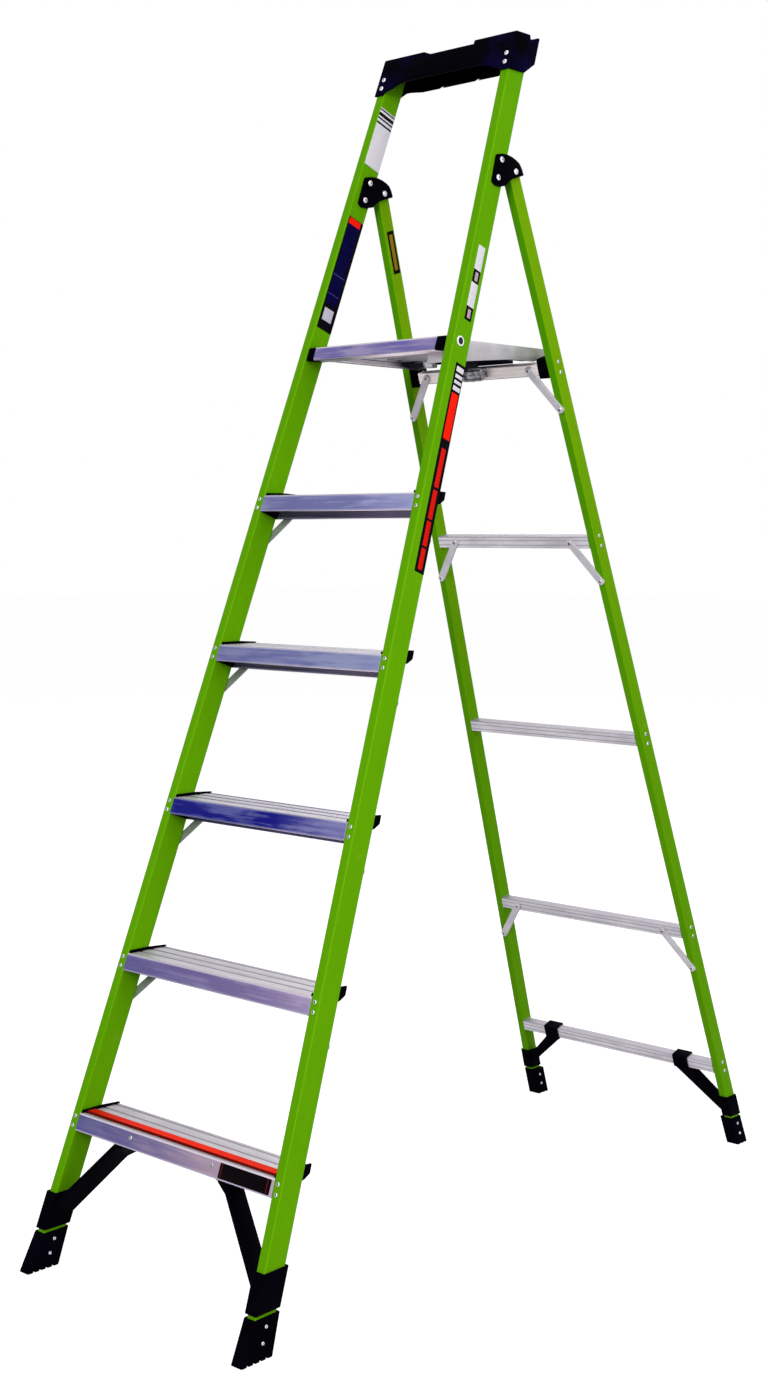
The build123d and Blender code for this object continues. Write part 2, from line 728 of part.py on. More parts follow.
# Top cap: an open-bottomed moulding with a raised front, a tray and a rear lip
cap_top = FRONT_RAIL_TOP + CAP_ABOVE_RAIL
cap_bottom = cap_top - CAP_HEIGHT
cap_rise = cap_bottom / COS_F
cap_rear_level = cap_bottom + CAP_REAR_RISE
cap_front_top = front_at(cap_top, -CAP_WALL)
cap_step = cap_front_top + CAP_FRONT_FLAT
cap_tray_level = cap_top - CAP_STEP_DROP
cap_lip = cap_step + CAP_TRAY
cap_lip_level = cap_tray_level + CAP_LIP_HEIGHT
cap_rear_top = cap_lip + CAP_LIP_THICK
cap_rear_low = cap_rear_top - (cap_lip_level - cap_rear_level) * TAN_F
cap_bottom_rear = front_at(cap_bottom, -CAP_WALL) + CAP_BOTTOM_DEPTH
cap_roof = cap_tray_level - CAP_WALL
cap_inner_front = front_at(cap_bottom - CAP_WALL, 0)
cap_outline = [
    (front_at(cap_bottom, -CAP_WALL), cap_bottom),
    (cap_front_top, cap_top),
    (cap_step, cap_top),
    (cap_step, cap_tray_level),
    (cap_lip, cap_tray_level),
    (cap_lip, cap_lip_level),
    (cap_rear_top, cap_lip_level),
    (cap_rear_low, cap_rear_level),
    (cap_bottom_rear, cap_bottom),
]
cap_hollow = [
    (cap_inner_front, cap_bottom - CAP_WALL),
    (front_at(cap_roof, 0), cap_roof),
    (cap_lip, cap_roof),
    (cap_rear_low - CAP_WALL, cap_rear_level),
    (cap_bottom_rear - CAP_WALL, cap_bottom),
    (cap_bottom_rear - CAP_WALL, cap_bottom - CAP_WALL),
]
cap_rib_low = cap_roof - CAP_RIB_DROP
cap_rib = [
    (front_at(cap_rib_low, 0), cap_rib_low),
    (front_at(cap_roof, 0), cap_roof),
    (cap_lip, cap_roof),
    (cap_lip - CAP_RIB_DROP * TAN_F, cap_rib_low),
]
cap_socket = rail_core(
    front_rail_plane,
    FRONT_RAIL_WIDTH,
    FRONT_RAIL_DEPTH,
    cap_bottom - CAP_SOCKET_DEPTH,
    FRONT_RAIL_TOP,
)
cap_inside = front_outer(cap_rise) - FRONT_RAIL_WIDTH
panel_low = cap_bottom + CAP_PANEL_RISE
panel_end = cap_bottom + CAP_PANEL_END_RISE
panel_bevel = cap_inside - CAP_PANEL_BEVEL_GAP
cap_panel_cut = [
    (-cap_inside, cap_bottom - CAP_WALL),
    (cap_inside, cap_bottom - CAP_WALL),
    (cap_inside, panel_end),
    (panel_bevel, panel_end),
    (panel_bevel - CAP_PANEL_BEVEL_RUN, panel_low),
    (CAP_PANEL_BEVEL_RUN - panel_bevel, panel_low),
    (-panel_bevel, panel_end),
    (-cap_inside, panel_end),
]
arch_rise = [(cap_inside - run, cap_bottom + lift) for run, lift in CAP_ARCH]
cap_arch_cut = [
    (-cap_inside, cap_bottom - CAP_WALL),
    (cap_inside, cap_bottom - CAP_WALL),
    *arch_rise,
    *[(-x, z) for x, z in reversed(arch_rise)],
]
with BuildPart() as cap_core:
    with BuildSketch(Plane.YZ):
        with BuildLine():
            Polyline(*cap_hollow, close=True)
        make_face()
    extrude(amount=front_outer(cap_rise), both=True)
    trim_between(front_outside)
with BuildPart() as top_cap:
    with BuildSketch(Plane.YZ):
        with BuildLine():
            Polyline(*cap_outline, close=True)
        make_face()
    extrude(amount=front_outer(cap_rise) + 2 * CAP_WALL, both=True)
    trim_between(front_outside.offset(CAP_WALL))
    chamfer(top_cap.faces().sort_by(Axis.Z)[-1].edges().filter_by(Axis.X), CAP_EDGE)
    with BuildSketch(Plane.XY.offset(cap_top)):
        with Locations((0, cap_step)):
            Rectangle(2 * CAP_RECESS_HALF, 2 * CAP_FRONT_FLAT, align=(Align.CENTER, Align.MAX))
    extrude(amount=-CAP_STEP_DROP, mode=Mode.SUBTRACT)
    add(cap_core.part, mode=Mode.SUBTRACT)
    with BuildSketch(Plane.XZ.offset(2 * CAP_WALL - cap_bottom_rear)):
        with BuildLine():
            Polyline(*cap_panel_cut, close=True)
        make_face()
        with Locations((-CAP_NOTCH_OFFSET, panel_low), (CAP_NOTCH_OFFSET, panel_low)):
            Rectangle(CAP_NOTCH_WIDTH, 2 * CAP_NOTCH_HEIGHT)
    extrude(amount=-CAP_BOTTOM_DEPTH, mode=Mode.SUBTRACT)
    with BuildSketch(Plane.XZ.offset(-front_at(cap_roof, 0))):
        with BuildLine():
            Polyline(*cap_arch_cut, close=True)
        make_face()
    extrude(amount=CAP_BOTTOM_DEPTH, mode=Mode.SUBTRACT)
    for x in CAP_RIBS:
        with BuildSketch(Plane.YZ.offset(x)):
            with BuildLine():
                Polyline(*cap_rib, close=True)
            make_face()
        extrude(amount=CAP_RIB_THICK / 2, both=True)
    add(cap_socket, mode=Mode.SUBTRACT)
    mirror(cap_socket, about=Plane.YZ, mode=Mode.SUBTRACT)
save(top_cap, "top_cap")

# Hinge plates on both sides of each front rail
hinge_bore = Plane(origin=(0, hinge_y, hinge_height), x_dir=(0, 1, 0), z_dir=(1, 0, 0))


def hinge_plate(plane, inset, thick):
    """Plate on one side of the right rail that carries the hinge pin behind it."""
    with BuildPart() as plate:
        with BuildSketch(plane) as outline:
            level = up_rail(hinge_rise, inset)
            with BuildLine():
                Polyline(*[(setback, level + rise) for setback, rise in HINGE_PLATE_OUTLINE], close=True)
            make_face()
            fillet(outline.vertices().sort_by(Axis.X)[-1:], HINGE_TIP_CORNER)
            fillet(outline.vertices().sort_by(Axis.X)[:2], HINGE_PLATE_CORNER)
        extrude(amount=thick)
        with BuildSketch(hinge_bore):
            Circle(HINGE_PIN_RADIUS + RUNNING_FIT)
        extrude(amount=FRONT_HALF_WIDTH, mode=Mode.SUBTRACT)
    return plate


hinge_plate_outer_right = hinge_plate(front_outside, 0, HINGE_PLATE_THICK)
save(hinge_plate_outer_right, "hinge_plate_outer_right")
save(flip(hinge_plate_outer_right), "hinge_plate_outer_left")
hinge_plate_inner_right = hinge_plate(front_inside, FRONT_RAIL_WIDTH, -HINGE_PLATE_THICK)
save(hinge_plate_inner_right, "hinge_plate_inner_right")
save(flip(hinge_plate_inner_right), "hinge_plate_inner_left")

# Hinge pins along X with a head on each plate
pin_outside = front_outside.offset(HINGE_PLATE_THICK)
pin_inside = front_inside.offset(-HINGE_PLATE_THICK)
with BuildPart() as hinge_pins:
    with BuildSketch(hinge_bore):
        Circle(HINGE_PIN_RADIUS)
    extrude(amount=FRONT_HALF_WIDTH)
    split(bisect_by=pin_outside, keep=Keep.BOTTOM)
    split(bisect_by=pin_inside, keep=Keep.TOP)
    with BuildSketch(pin_outside):
        with Locations((HINGE_SETBACK, up_rail(hinge_rise, -HINGE_PLATE_THICK))):
            RegularPolygon(HINGE_PIN_HEAD_RADIUS, HINGE_PIN_HEAD_SIDES)
    extrude(amount=HINGE_PIN_HEAD_HEIGHT)
    with BuildSketch(pin_inside):
        with Locations((HINGE_SETBACK, up_rail(hinge_rise, FRONT_RAIL_WIDTH + HINGE_PLATE_THICK))):
            RegularPolygon(HINGE_PIN_HEAD_RADIUS, HINGE_PIN_HEAD_SIDES)
    extrude(amount=-HINGE_PIN_HEAD_HEIGHT)
    mirror(about=Plane.YZ)
save(hinge_pins, "hinge_pins")

# White flanged bushes of the platform pivot, pressed into the front rails
bush_reach = BUSH_FLANGE_RADIUS * TAN_T
bush_seat = front_outer(pivot_rise) + bush_reach
bush_end = front_outer(pivot_rise) - FRONT_RAIL_WIDTH / COS_T + bush_reach
with BuildPart() as pivot_bush_right:
    with BuildSketch(platform_plane.offset(bush_end)):
        RegularPolygon(BUSH_RADIUS, BUSH_SIDES)
    extrude(amount=bush_seat - bush_end)
    with BuildSketch(platform_plane.offset(bush_seat)):
        RegularPolygon(BUSH_FLANGE_RADIUS, BUSH_SIDES)
    extrude(amount=BUSH_FLANGE_THICK)
    with BuildSketch(platform_plane.offset(bush_end)):
        Circle(PLATFORM_PIN_RADIUS + RUNNING_FIT)
    extrude(amount=2 * FRONT_RAIL_WIDTH, mode=Mode.SUBTRACT)
save(pivot_bush_right, "pivot_bush_right")
save(flip(pivot_bush_right), "pivot_bush_left")

# Rear rails, slimmer hollow tubes bored for the hinge pins
with BuildPart() as rear_rail_right:
    with BuildSketch(rear_rail_plane):
        with Locations((0, REAR_RAIL_DEPTH / 2)):
            RectangleRounded(rear_rail_width, REAR_RAIL_DEPTH, REAR_RAIL_CORNER)
            Rectangle(
                rear_rail_width - 2 * REAR_RAIL_WALL,
                REAR_RAIL_DEPTH - 2 * REAR_RAIL_WALL,
                mode=Mode.SUBTRACT,
            )
    extrude(amount=up_rail(rear_hinge_rise) + REAR_RAIL_OVER_PIN)
    with BuildSketch(hinge_bore):
        Circle(HINGE_PIN_RADIUS + RUNNING_FIT)
    extrude(amount=FRONT_HALF_WIDTH, mode=Mode.SUBTRACT)
    split(bisect_by=Plane.XY.offset(FOOT_FLOOR), keep=Keep.TOP)
save(rear_rail_right, "rear_rail_right")
save(flip(rear_rail_right), "rear_rail_left")

# Rear cross bars, hollow with two grooves along the front; the top one ends at its blocks
block_in = rear_outer(bar_rises[0]) - rear_rail_width - BLOCK_LENGTH
for index, rise in enumerate(bar_rises):
    with BuildPart() as bar:
        with BuildSketch(rear_side):
            with Locations((BAR_DEPTH / 2, rise)):
                RectangleRounded(BAR_DEPTH, BAR_HEIGHT, BAR_CORNER)
                Rectangle(BAR_DEPTH - 2 * BAR_WALL, BAR_HEIGHT - 2 * BAR_WALL, mode=Mode.SUBTRACT)
            with Locations((0, rise - BAR_GROOVE_RISE), (0, rise + BAR_GROOVE_RISE)):
                Rectangle(2 * BAR_GROOVE_DEPTH, BAR_GROOVE_WIDTH, mode=Mode.SUBTRACT)
        extrude(amount=rear_outer(rise), both=True)
        trim_between(Plane.YZ.offset(block_in) if index == 0 else rear_inside)
    save(bar, f"rear_bar_{index + 1}")

# Black end blocks between the top rear bar and the rear rails
with BuildPart() as bar_end_block_right:
    with BuildSketch(side_plane(-SIN_R, COS_R, rear_y, block_in)):
        with Locations((0, bar_rises[0] - BAR_HEIGHT / 2 - BLOCK_BELOW)):
            Rectangle(
                REAR_RAIL_DEPTH,
                BAR_HEIGHT + BLOCK_BELOW + BLOCK_ABOVE,
                align=(Align.MIN, Align.MIN),
            )
    extrude(amount=2 * BLOCK_LENGTH)
    split(bisect_by=rear_inside, keep=Keep.BOTTOM)
save(bar_end_block_right, "bar_end_block_right")
save(flip(bar_end_block_right), "bar_end_block_left")

# Cross braces: flat bars from a rear bar's front down to the rail's front
cross_ends = []
cross_names = {0: "rear_braces_upper", 1: "rear_braces_middle", 3: "rear_braces_lower"}
for index, name in cross_names.items():
    top_rise = bar_rises[index]
    low_rise = top_rise - CROSS_FALL
    low_x = rear_outer(low_rise) - rear_rail_width / 2
    top_x = low_x - CROSS_RUN
    cross_ends += [(top_x, top_rise), (low_x, low_rise)]
    with BuildPart() as braces:
        with BuildSketch(rear_face) as cross_outline:
            middle = ((low_x + top_x) / 2, (low_rise + top_rise) / 2)
            reach = math.hypot(CROSS_RUN, CROSS_FALL)
            slant = math.degrees(math.atan2(-CROSS_FALL, CROSS_RUN))
            with Locations(Location(middle, slant)):
                Rectangle(reach + BRACE_WIDTH, BRACE_WIDTH)
            chamfer(cross_outline.vertices(), BRACE_CORNER)
        extrude(amount=BRACE_THICK)
        mirror(about=Plane.YZ)
    save(braces, name)

# Rear corner braces: a sleeve on the rail, a band round the lowest bar and an arm between
saddle_rise = bar_rises[-1]
saddle_out = rear_outer(saddle_rise) - rear_rail_width - SADDLE_FROM_RAIL
saddle_in = saddle_out - SADDLE_WIDTH
saddle_under = saddle_rise - BAR_HEIGHT / 2 - FIT - SADDLE_WALL / 2
rear_heel_x = rear_outer(REAR_ARM_HEEL) - rear_rail_width - FIT - REAR_SLEEVE_WALL / 2
with BuildPart() as rear_corner_brace_right:
    sleeve(
        rear_rail_plane,
        rear_rail_width,
        REAR_RAIL_DEPTH,
        REAR_SLEEVE_WALL,
        REAR_SLEEVE_LOW,
        REAR_SLEEVE_HIGH,
    )
    with BuildSketch(side_plane(-SIN_R, COS_R, rear_y, saddle_in)):
        with Locations((BAR_DEPTH / 2, saddle_rise)):
            Rectangle(BAR_DEPTH + 2 * (FIT + SADDLE_WALL), BAR_HEIGHT + 2 * (FIT + SADDLE_WALL))
            Rectangle(BAR_DEPTH + 2 * FIT, BAR_HEIGHT + 2 * FIT, mode=Mode.SUBTRACT)
    extrude(amount=SADDLE_WIDTH)
    with BuildSketch(rear_face):
        with BuildLine():
            Polyline(
                (saddle_in, saddle_under),
                (saddle_out, saddle_under),
                (rear_heel_x, REAR_ARM_HEEL),
                (rear_heel_x, REAR_ARM_HEEL - REAR_ARM_HEIGHT),
                close=True,
            )
        make_face()
    extrude(amount=-BAR_DEPTH)
save(rear_corner_brace_right, "rear_corner_brace_right")
save(flip(rear_corner_brace_right), "rear_corner_brace_left")

# Platform nose: a hollow bar whose front lies flush with the rails, with a pin port
nose_low = PLATFORM_PIVOT_DROP - NOSE_HEIGHT
nose_outline = [
    (front_at(pivot_z + nose_low, 0) - pivot_y, nose_low),
    (front_at(PLATFORM_TOP, 0) - pivot_y, PLATFORM_PIVOT_DROP),
    (NOSE_REACH, PLATFORM_PIVOT_DROP),
    (NOSE_REACH, nose_low),
]
nose_cap_out = front_outer(pivot_rise + NOSE_SWEEP) - FRONT_RAIL_WIDTH / COS_T - NOSE_CAP_GAP
nose_half = nose_cap_out - NOSE_CAP_LENGTH


def nose_sketch():
    """Closed outline of the nose with its two rounded front edges."""
    with BuildSketch() as outline:
        with BuildLine():
            Polyline(*nose_outline, close=True)
        make_face()
        fillet(outline.vertices().group_by(Axis.X)[0], NOSE_RADIUS)
        fillet(outline.vertices().sort_by_distance(nose_outline[1])[0:1], NOSE_RADIUS)
    return outline.sketch


nose_face = nose_sketch()
with BuildPart() as platform_nose:
    with BuildSketch(platform_plane):
        add(nose_face)
        offset(amount=-NOSE_WALL, mode=Mode.SUBTRACT)
        Rectangle(2 * NOSE_BOSS, 2 * NOSE_BOSS)
        Circle(PLATFORM_PIN_RADIUS, mode=Mode.SUBTRACT)
    extrude(amount=nose_half, both=True)
save(platform_nose, "platform_nose")

# Black end caps that fill the nose out to the rails
with BuildPart() as nose_end_cap_right:
    with BuildSketch(platform_plane.offset(nose_half)):
        add(nose_face)
        Circle(PLATFORM_PIN_RADIUS, mode=Mode.SUBTRACT)
    extrude(amount=nose_cap_out - nose_half)
save(nose_end_cap_right, "nose_end_cap_right")
save(flip(nose_end_cap_right), "nose_end_cap_left")

# Platform pivot pins, turning in the bushes with the platform
pin_end = front_outer(pivot_rise) - PLATFORM_PIN_RECESS
with BuildPart() as platform_pins:
    with BuildSketch(platform_plane.offset(nose_half - PLATFORM_PIN_GRIP)):
        Circle(PLATFORM_PIN_RADIUS)
    extrude(amount=pin_end - nose_half + PLATFORM_PIN_GRIP)
    mirror(about=Plane.YZ)
save(platform_pins, "platform_pins")

# Deck: a ribbed plank with stiffening webs and a rest that stands on the top rear bar
rest_z = PLATFORM_PIVOT_DROP - BAR_BELOW_DECK + DECK_REST_GAP
deck_half = nose_half - SIDE_INSET - SIDE_THICK
deck_under = PLATFORM_PIVOT_DROP - DECK_THICK
web_count = int((deck_reach - NOSE_REACH) // DECK_WEB_PITCH)
rib_count = int((deck_reach - NOSE_REACH) // DECK_RIB_PITCH)
with BuildPart() as platform_deck:
    with BuildSketch(platform_plane):
        with Locations((NOSE_REACH, deck_under)):
            Rectangle(deck_reach - NOSE_REACH, DECK_THICK - DECK_RIB_HEIGHT, align=(Align.MIN, Align.MIN))
        for k in range(rib_count):
            with Locations((NOSE_REACH + DECK_RIB_PITCH * (k + 1 / 2), deck_under)):
                Rectangle(DECK_RIB_WIDTH, DECK_THICK, align=(Align.CENTER, Align.MIN))
        for k in range(web_count):
            with Locations((NOSE_REACH + DECK_WEB_PITCH * k, deck_under + DECK_WEB_THICK / 2)):
                Rectangle(
                    DECK_WEB_THICK,
                    DECK_WEB_DEPTH + DECK_WEB_THICK / 2,
                    align=(Align.MIN, Align.MAX),
                )
        with Locations((deck_reach, deck_under + DECK_WEB_THICK / 2)):
            Rectangle(
                DECK_WEB_THICK,
                DECK_WEB_DEPTH + DECK_WEB_THICK / 2,
                align=(Align.MAX, Align.MAX),
            )
    extrude(amount=deck_half, both=True)
    with BuildSketch(platform_plane):
        with Locations((rest_y, rest_z)):
            Rectangle(DECK_THICK, deck_under - rest_z + DECK_WEB_THICK / 2, align=(Align.CENTER, Align.MIN))
    extrude(amount=DECK_REST_HALF, both=True)
save(platform_deck, "platform_deck")

# Side plates of the platform with a turned-in lower edge
side_end = deck_reach - SIDE_REAR_STOP
side_outline = [
    (NOSE_REACH + FIT, PLATFORM_PIVOT_DROP),
    (side_end, PLATFORM_PIVOT_DROP),
    (side_end, -SIDE_REAR_DROP),
    (deck_reach - SIDE_KNEE_STOP, nose_low),
    (NOSE_REACH + FIT, nose_low),
]


def side_plate():
    """Right-hand side plate of the deck with its turned-in lower edge."""
    with BuildPart() as plate:
        with BuildSketch(platform_plane.offset(deck_half)):
            with BuildLine():
                Polyline(*side_outline, close=True)
            make_face()
        extrude(amount=SIDE_THICK)
        with BuildSketch(platform_plane.offset(deck_half)):
            with Locations((SIDE_FLANGE_START, nose_low)):
                Rectangle(
                    deck_reach - SIDE_FLANGE_STOP - SIDE_FLANGE_START,
                    SIDE_THICK,
                    align=(Align.MIN, Align.MIN),
                )
        extrude(amount=-SIDE_FLANGE)
    return plate


save(flip(side_plate()), "platform_side_left")

# The right plate also reaches down under the nose as a gusset with a front return
gusset_top = nose_low - FIT
with BuildPart() as platform_side_right:
    add(side_plate().part)
    with BuildSketch(platform_plane.offset(deck_half)):
        with BuildLine():
            Polyline(
                (GUSSET_FRONT, gusset_top),
                (GUSSET_FRONT, -GUSSET_DROP),
                (GUSSET_END, nose_low),
                (GUSSET_END, nose_low + SIDE_THICK),
                (NOSE_REACH + FIT, nose_low + SIDE_THICK),
                (NOSE_REACH + FIT, gusset_top),
                close=True,
            )
        make_face()
    extrude(amount=SIDE_THICK)
    with BuildSketch(platform_plane.offset(deck_half)):
        with Locations((GUSSET_FRONT, gusset_top)):
            Rectangle(SIDE_THICK, GUSSET_DROP + gusset_top, align=(Align.MIN, Align.MAX))
    extrude(amount=-GUSSET_RETURN + SIDE_THICK)
save(platform_side_right, "platform_side_right")

# Latch block on the inner end of the gusset's front return
latch_width, latch_depth, latch_height = LATCH_SIZE
latch_out = deck_half + SIDE_THICK - GUSSET_RETURN + LATCH_LAP
with BuildPart() as platform_latch_block:
    with BuildSketch(platform_plane.offset(latch_out)):
        with Locations((GUSSET_FRONT + SIDE_THICK, -LATCH_DROP)):
            Rectangle(latch_depth, latch_height, align=(Align.MIN, Align.MIN))
    extrude(amount=-latch_width)
save(platform_latch_block, "platform_latch_block")

# Keeper plate under the deck, in front of the catch lever's nose
with BuildPart() as catch_keeper:
    with BuildSketch(platform_plane):
        with Locations((rest_y - KEEPER_BEFORE_REST, -KEEPER_DROP)):
            Rectangle(KEEPER_THICK, deck_under + KEEPER_DROP, align=(Align.MIN, Align.MIN))
    extrude(amount=KEEPER_WIDTH / 2, both=True)
save(catch_keeper, "catch_keeper")

# Catch housing: a back plate on the top rear bar with two cheeks
catch_middle = bar_top + CATCH_RISE - CATCH_HEIGHT / 2
catch_pin_rise = bar_top - CATCH_PIN_DROP
with BuildPart() as catch_housing:
    with BuildSketch(rear_face):
        with Locations((0, catch_middle)):
            Rectangle(2 * CATCH_HALF, CATCH_HEIGHT)
    extrude(amount=CATCH_BACK)
    with BuildSketch(rear_face):
        cheek_x = CATCH_HALF - CATCH_CHEEK / 2
        with Locations((-cheek_x, catch_middle), (cheek_x, catch_middle)):
            Rectangle(CATCH_CHEEK, CATCH_HEIGHT)
    extrude(amount=CATCH_DEPTH)
    with BuildSketch(rear_side):
        with Locations((-CATCH_PIN_SETBACK, catch_pin_rise)):
            Circle(CATCH_PIN_RADIUS)
    extrude(amount=CATCH_HALF, both=True, mode=Mode.SUBTRACT)
save(catch_housing, "catch_housing")

# Catch pin through the cheeks
with BuildPart() as catch_pin:
    with BuildSketch(rear_side):
        with Locations((-CATCH_PIN_SETBACK, catch_pin_rise)):
            Circle(CATCH_PIN_RADIUS)
    extrude(amount=CATCH_HALF, both=True)
save(catch_pin, "catch_pin")

# Catch lever: a sprung plate with a forward nose above its barrel and a finger lip below
lever_back = -CATCH_PIN_SETBACK + LEVER_THICK / 2
lever_front = lever_back - LEVER_THICK
lever_top = catch_pin_rise + LEVER_NOSE_RISE
lever_low = catch_pin_rise - LEVER_DROP
with BuildPart() as catch_lever:
    with BuildSketch(rear_side):
        with BuildLine():
            Polyline(
                (lever_back, lever_low),
                (lever_back, lever_top),
                (lever_front - LEVER_NOSE_REACH, lever_top),
                (lever_front - LEVER_NOSE_REACH, lever_top - LEVER_THICK),
                (lever_front, lever_top - LEVER_THICK),
                (lever_front, lever_low + LEVER_THICK),
                (lever_front - LEVER_LIP, lever_low + LEVER_THICK / 2),
                (lever_front - LEVER_LIP, lever_low - LEVER_THICK / 2),
                close=True,
            )
        make_face()
        with Locations((-CATCH_PIN_SETBACK, catch_pin_rise)):
            Circle(LEVER_BARREL)
            Circle(CATCH_PIN_RADIUS + RUNNING_FIT, mode=Mode.SUBTRACT)
    extrude(amount=CATCH_HALF - CATCH_CHEEK - LEVER_SIDE_GAP, both=True)
save(catch_lever, "catch_lever")

# Rivet heads in groups
rail_middle = FRONT_RAIL_WIDTH / 2
step_points = [
    (front_outer(rise - drop) - rail_middle, rise - drop)
    for rise in step_rises
    for drop in STEP_RIVET_DROPS
]
brace_points = [(arm_foot - BRACE_STEP_RIVET_IN, step_rises[0] - BRACE_STEP_RIVET_DROP)]
rivets(seats(front_face, step_points + brace_points), "step_rivets")
rivets(seats(front_back_face.offset(-BRACE_THICK), knee_ends, -1), "knee_brace_rivets")
cap_face = face_plane(SIN_F, COS_F, front_y, -CAP_WALL)
cap_points = [(front_outer(cap_rise + lift) - rail_middle, cap_rise + lift) for lift in CAP_RIVET_LIFTS]
rivets(seats(cap_face, cap_points), "top_cap_rivets")
hinge_rises = [hinge_rise - drop for drop in HINGE_RIVET_DROPS]
outer_points = [(HINGE_RIVET_SETBACK, up_rail(s)) for s in hinge_rises]
rivets(seats(pin_outside, outer_points) + seats(pin_inside, outer_points, -1), "hinge_rivets")


def foot_seats(half_width, width, wall, cos, foot_y, points, inward=0.0):
    """Rivet seats on both sides of a right-hand shoe: x backwards, y upwards from the floor."""
    skin = FIT + wall
    lean = (1, 0, TAN_T / cos)
    outer = Plane(origin=(half_width + skin, foot_y, 0), x_dir=(0, 1, 0), z_dir=lean)
    inner_x = half_width - width - skin - inward
    inner = Plane(origin=(inner_x, foot_y, 0), x_dir=(0, 1, 0), z_dir=lean)
    return seats(outer, points) + seats(inner, points, -1)


front_shoe = (FRONT_HALF_WIDTH, FRONT_RAIL_WIDTH, FRONT_FOOT_WALL, COS_F, front_y)
rivets(foot_seats(*front_shoe, FRONT_FOOT_RIVETS), "front_foot_rivets")
rear_shoe = (rear_half_width, rear_rail_width, REAR_FOOT_WALL, COS_R, rear_y)
rivets(foot_seats(*rear_shoe, REAR_FOOT_RIVETS, REAR_FOOT_INWARD), "rear_foot_rivets")
bar_points = [
    (REAR_RAIL_DEPTH / 2, up_rail(rise + side * BAR_RIVET_SPREAD))
    for rise in bar_rises
    for side in (-1, 1)
]
rivets(seats(rear_outside, bar_points), "rear_bar_rivets")
rivets(seats(rear_face.offset(BRACE_THICK), cross_ends), "rear_brace_rivets")
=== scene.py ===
"""Looks of a green platform stepladder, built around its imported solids."""

import logging
import math
from dataclasses import KW_ONLY, dataclass, field
from enum import Enum
from functools import cache
from typing import ClassVar, Sequence

import bmesh
import bpy
import numpy as np
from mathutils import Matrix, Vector


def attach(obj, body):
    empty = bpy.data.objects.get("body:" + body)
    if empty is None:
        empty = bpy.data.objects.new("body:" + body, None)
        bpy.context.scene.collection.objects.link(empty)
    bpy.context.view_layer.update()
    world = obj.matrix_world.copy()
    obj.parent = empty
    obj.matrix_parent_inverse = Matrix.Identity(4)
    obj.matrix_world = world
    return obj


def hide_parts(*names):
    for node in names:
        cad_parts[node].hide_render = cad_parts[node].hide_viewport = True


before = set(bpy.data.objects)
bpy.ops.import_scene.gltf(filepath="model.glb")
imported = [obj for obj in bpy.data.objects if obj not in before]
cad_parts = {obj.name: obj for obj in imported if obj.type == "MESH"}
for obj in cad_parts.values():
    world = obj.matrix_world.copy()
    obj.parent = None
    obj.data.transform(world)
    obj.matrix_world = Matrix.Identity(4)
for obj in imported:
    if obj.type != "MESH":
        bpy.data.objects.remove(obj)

LOG = logging.getLogger("stepladder")
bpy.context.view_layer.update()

Triple = tuple[float, float, float]
Colour = Triple
Span = tuple[float, float]
Stops = tuple[tuple[float, Colour], ...]
Marks = Sequence[tuple[Colour, Sequence[Span]]]
Spot = tuple[np.ndarray, np.ndarray]
FrontLook = tuple[Colour, Colour, Colour, float, float, float, float]
Socket = bpy.types.NodeSocket
Material = bpy.types.Material

MM = 0.001
QUARTER = math.pi / 2
RIGHTWARD = np.array([1.0, 0.0, 0.0])
UPWARD = np.array([0.0, 0.0, 1.0])
NEARLY_PARALLEL = 0.9
ARC_POINTS = 7
EDGE_RINGS = 4
SHARP_DEGREES = 40.0
BEVEL_DEGREES = 25.0
FLAT_DEGREES = 0.5
WELD = 2e-6
WELD_DIGITS = 6
# Inputs of a mix node that lie between its factor and its two colours
BEFORE_COLOURS = (None,) * 5
# Noise values that become zero and one, excess over a cut that becomes one, and scale of the finer noise
NOISE_ENDS = (0.3, 0.7)
SCUFF_FULL = 0.125
SCUFF_FINER = 7.0


class Body(Enum):
    """Names of the moving bodies that carry new pieces."""

    FRONT = "front_section"
    REAR = "rear_section"
    LEVER = "catch_lever"
    PLATFORM = "platform"


class Side(Enum):
    """Which rail of a pair, by the sign of its X."""

    LEFT = -1.0
    RIGHT = 1.0


class Face(Enum):
    """Which long side of a rail, counted from the middle of the ladder."""

    OUTER = 1.0
    INNER = -1.0


class Slot(Enum):
    """Material slots of the record, carried in each new piece's role but not applied to it."""

    BLACK = "black_moulding"
    RUBBER = "black_rubber"
    PAINT = "black_painted_plate"
    RIVET = "rivet_steel"
    WHITE = "white_plastic"
    ALUMINIUM = "bare_aluminium"


class Facing(Enum):
    """Faces picked by their normal: an axis, and the values where the pick starts and is full."""

    DOWN = ("Z", -0.4, -0.85)
    FRONT = ("Y", -0.5, -0.8)
    RIGHT = ("X", 0.2, 0.6)
    TREAD = ("Z", 0.5, 0.8)
    SHADED_BAR_TOP = ("Z", 0.5, 0.9)
    NOT_UP = ("Z", 0.6, 0.2)


def srgb(red: int, green: int, blue: int) -> Colour:
    """Linear colour of an 8-bit display colour.

    Args:
        red: Red from 0 to 255.
        green: Green from 0 to 255.
        blue: Blue from 0 to 255.

    Returns:
        The three linear values.
    """
    parts = np.array([red, green, blue]) / 255.0
    linear = np.where(parts <= 0.04045, parts / 12.92, ((parts + 0.055) / 1.055) ** 2.4)
    return tuple(float(v) for v in linear)


# Node sheets and shared effects


